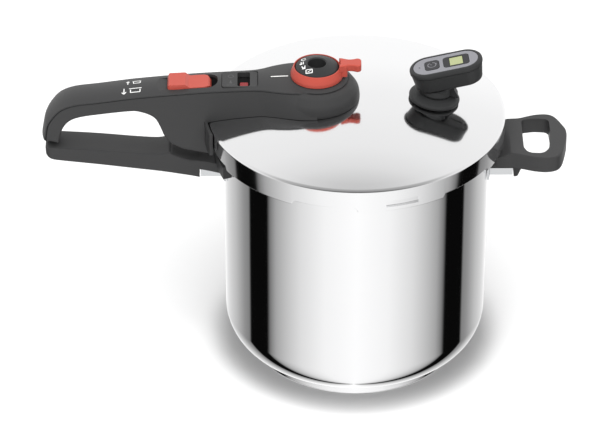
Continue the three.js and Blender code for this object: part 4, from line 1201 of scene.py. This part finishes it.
class CookerStudio(bpy.types.PropertyGroup):
    """Camera and light of the studio."""
    elevation: bpy.props.FloatProperty(
        name="Camera height", description="Angle of the camera above the floor", subtype="ANGLE", unit="ROTATION",
        default=math.radians(33.8), min=0.0, max=math.radians(89))
    azimuth: bpy.props.FloatProperty(
        name="Camera turn", description="Angle of the camera to the right of the cooker's front", subtype="ANGLE",
        unit="ROTATION", default=math.radians(-0.5))
    distance: bpy.props.FloatProperty(
        name="Camera distance", description="From the camera to the cooker's middle", unit="LENGTH",
        default=3.285, min=0.5, max=20.0)
    lens: bpy.props.FloatProperty(
        name="Lens", description="Focal length for a 36 mm wide film", unit="CAMERA",
        default=229.6, min=20.0, max=1000.0)
    key_power: bpy.props.FloatProperty(
        name="Overhead light", description="Power of the large soft light above the camera", unit="POWER",
        default=240.0, min=0.0, max=2000.0)


class COOKER_OT_studio(bpy.types.Operator):
    """Set up the floor, the light and the camera"""
    bl_idname = "cooker.studio"
    bl_label = "Studio"
    bl_options = {"REGISTER", "UNDO"}

    def execute(self, context):
        make_studio(context.scene.cooker_studio)
        return {"FINISHED"}


class COOKER_OT_pot(bpy.types.Operator):
    """Build the pot and the steel cap of its base"""
    bl_idname = "cooker.pot"
    bl_label = "Pot"
    bl_options = {"REGISTER", "UNDO"}

    def execute(self, context):
        make_pot()
        return {"FINISHED"}


class COOKER_OT_pot_handles(bpy.types.Operator):
    """Build the pot's long handle and its short handle"""
    bl_idname = "cooker.pot_handles"
    bl_label = "Pot handles"
    bl_options = {"REGISTER", "UNDO"}

    def execute(self, context):
        make_pot_handle()
        make_helper_handle()
        return {"FINISHED"}


class COOKER_OT_lid(bpy.types.Operator):
    """Build the domed lid and its gasket"""
    bl_idname = "cooker.lid"
    bl_label = "Lid"
    bl_options = {"REGISTER", "UNDO"}

    def execute(self, context):
        make_lid()
        return {"FINISHED"}


class COOKER_OT_lid_handle(bpy.types.Operator):
    """Build the lid handle with its cover, marks, window and pressure flag"""
    bl_idname = "cooker.lid_handle"
    bl_label = "Lid handle"
    bl_options = {"REGISTER", "UNDO"}

    def execute(self, context):
        shape = context.scene.cooker_shape
        make_handle_body(shape)
        make_handle_marks(make_handle_cover(shape))
        make_window()
        return {"FINISHED"}


class COOKER_OT_dial(bpy.types.Operator):
    """Build the pressure dial: the red ring with its lever and the dark cap"""
    bl_idname = "cooker.dial"
    bl_label = "Pressure dial"
    bl_options = {"REGISTER", "UNDO"}

    def execute(self, context):
        make_selector()
        return {"FINISHED"}


class COOKER_OT_lock(bpy.types.Operator):
    """Build the red slider of the lid lock"""
    bl_idname = "cooker.lock"
    bl_label = "Lock slider"
    bl_options = {"REGISTER", "UNDO"}

    def execute(self, context):
        make_lock()
        return {"FINISHED"}


class COOKER_OT_timer(bpy.types.Operator):
    """Build the clip-on timer and its foot on the lid"""
    bl_idname = "cooker.timer"
    bl_label = "Timer"
    bl_options = {"REGISTER", "UNDO"}

    def execute(self, context):
        make_timer_foot()
        make_timer()
        return {"FINISHED"}


class COOKER_OT_fittings(bpy.types.Operator):
    """Give the brackets, screws, valves and inner pieces their finishes"""
    bl_idname = "cooker.fittings"
    bl_label = "Fittings"
    bl_options = {"REGISTER", "UNDO"}

    def execute(self, context):
        make_fittings()
        return {"FINISHED"}


STEPS = (COOKER_OT_studio, COOKER_OT_pot, COOKER_OT_pot_handles, COOKER_OT_lid, COOKER_OT_lid_handle, COOKER_OT_dial,
         COOKER_OT_lock, COOKER_OT_timer, COOKER_OT_fittings)


class COOKER_PT_panel(bpy.types.Panel):
    """Settings and building steps of the pressure cooker"""
    bl_idname = "COOKER_PT_panel"
    bl_label = "Pressure cooker"
    bl_space_type = "VIEW_3D"
    bl_region_type = "UI"
    bl_category = "Cooker"

    def draw(self, context):
        layout = self.layout
        for title, group in (("Shape", context.scene.cooker_shape), ("Look", context.scene.cooker_look),
                             ("Studio", context.scene.cooker_studio)):
            box_layout = layout.box()
            box_layout.label(text=title)
            for name in type(group).__annotations__:
                box_layout.prop(group, name)
        column = layout.column(align=True)
        for step in STEPS:
            column.operator(step.bl_idname)


CLASSES = (CookerShape, CookerLook, CookerStudio, *STEPS, COOKER_PT_panel)


def register():
    for cls in CLASSES:
        bpy.utils.register_class(cls)
    bpy.types.Scene.cooker_shape = bpy.props.PointerProperty(type=CookerShape)
    bpy.types.Scene.cooker_look = bpy.props.PointerProperty(type=CookerLook)
    bpy.types.Scene.cooker_studio = bpy.props.PointerProperty(type=CookerStudio)


def unregister():
    del bpy.types.Scene.cooker_studio
    del bpy.types.Scene.cooker_look
    del bpy.types.Scene.cooker_shape
    for cls in reversed(CLASSES):
        bpy.utils.unregister_class(cls)


def main():
    register()
    bpy.ops.cooker.studio()
    bpy.ops.cooker.pot()
    bpy.ops.cooker.pot_handles()
    bpy.ops.cooker.lid()
    bpy.ops.cooker.lid_handle()
    bpy.ops.cooker.dial()
    bpy.ops.cooker.lock()
    bpy.ops.cooker.timer()
    bpy.ops.cooker.fittings()


if __name__ == "__main__":
    main()
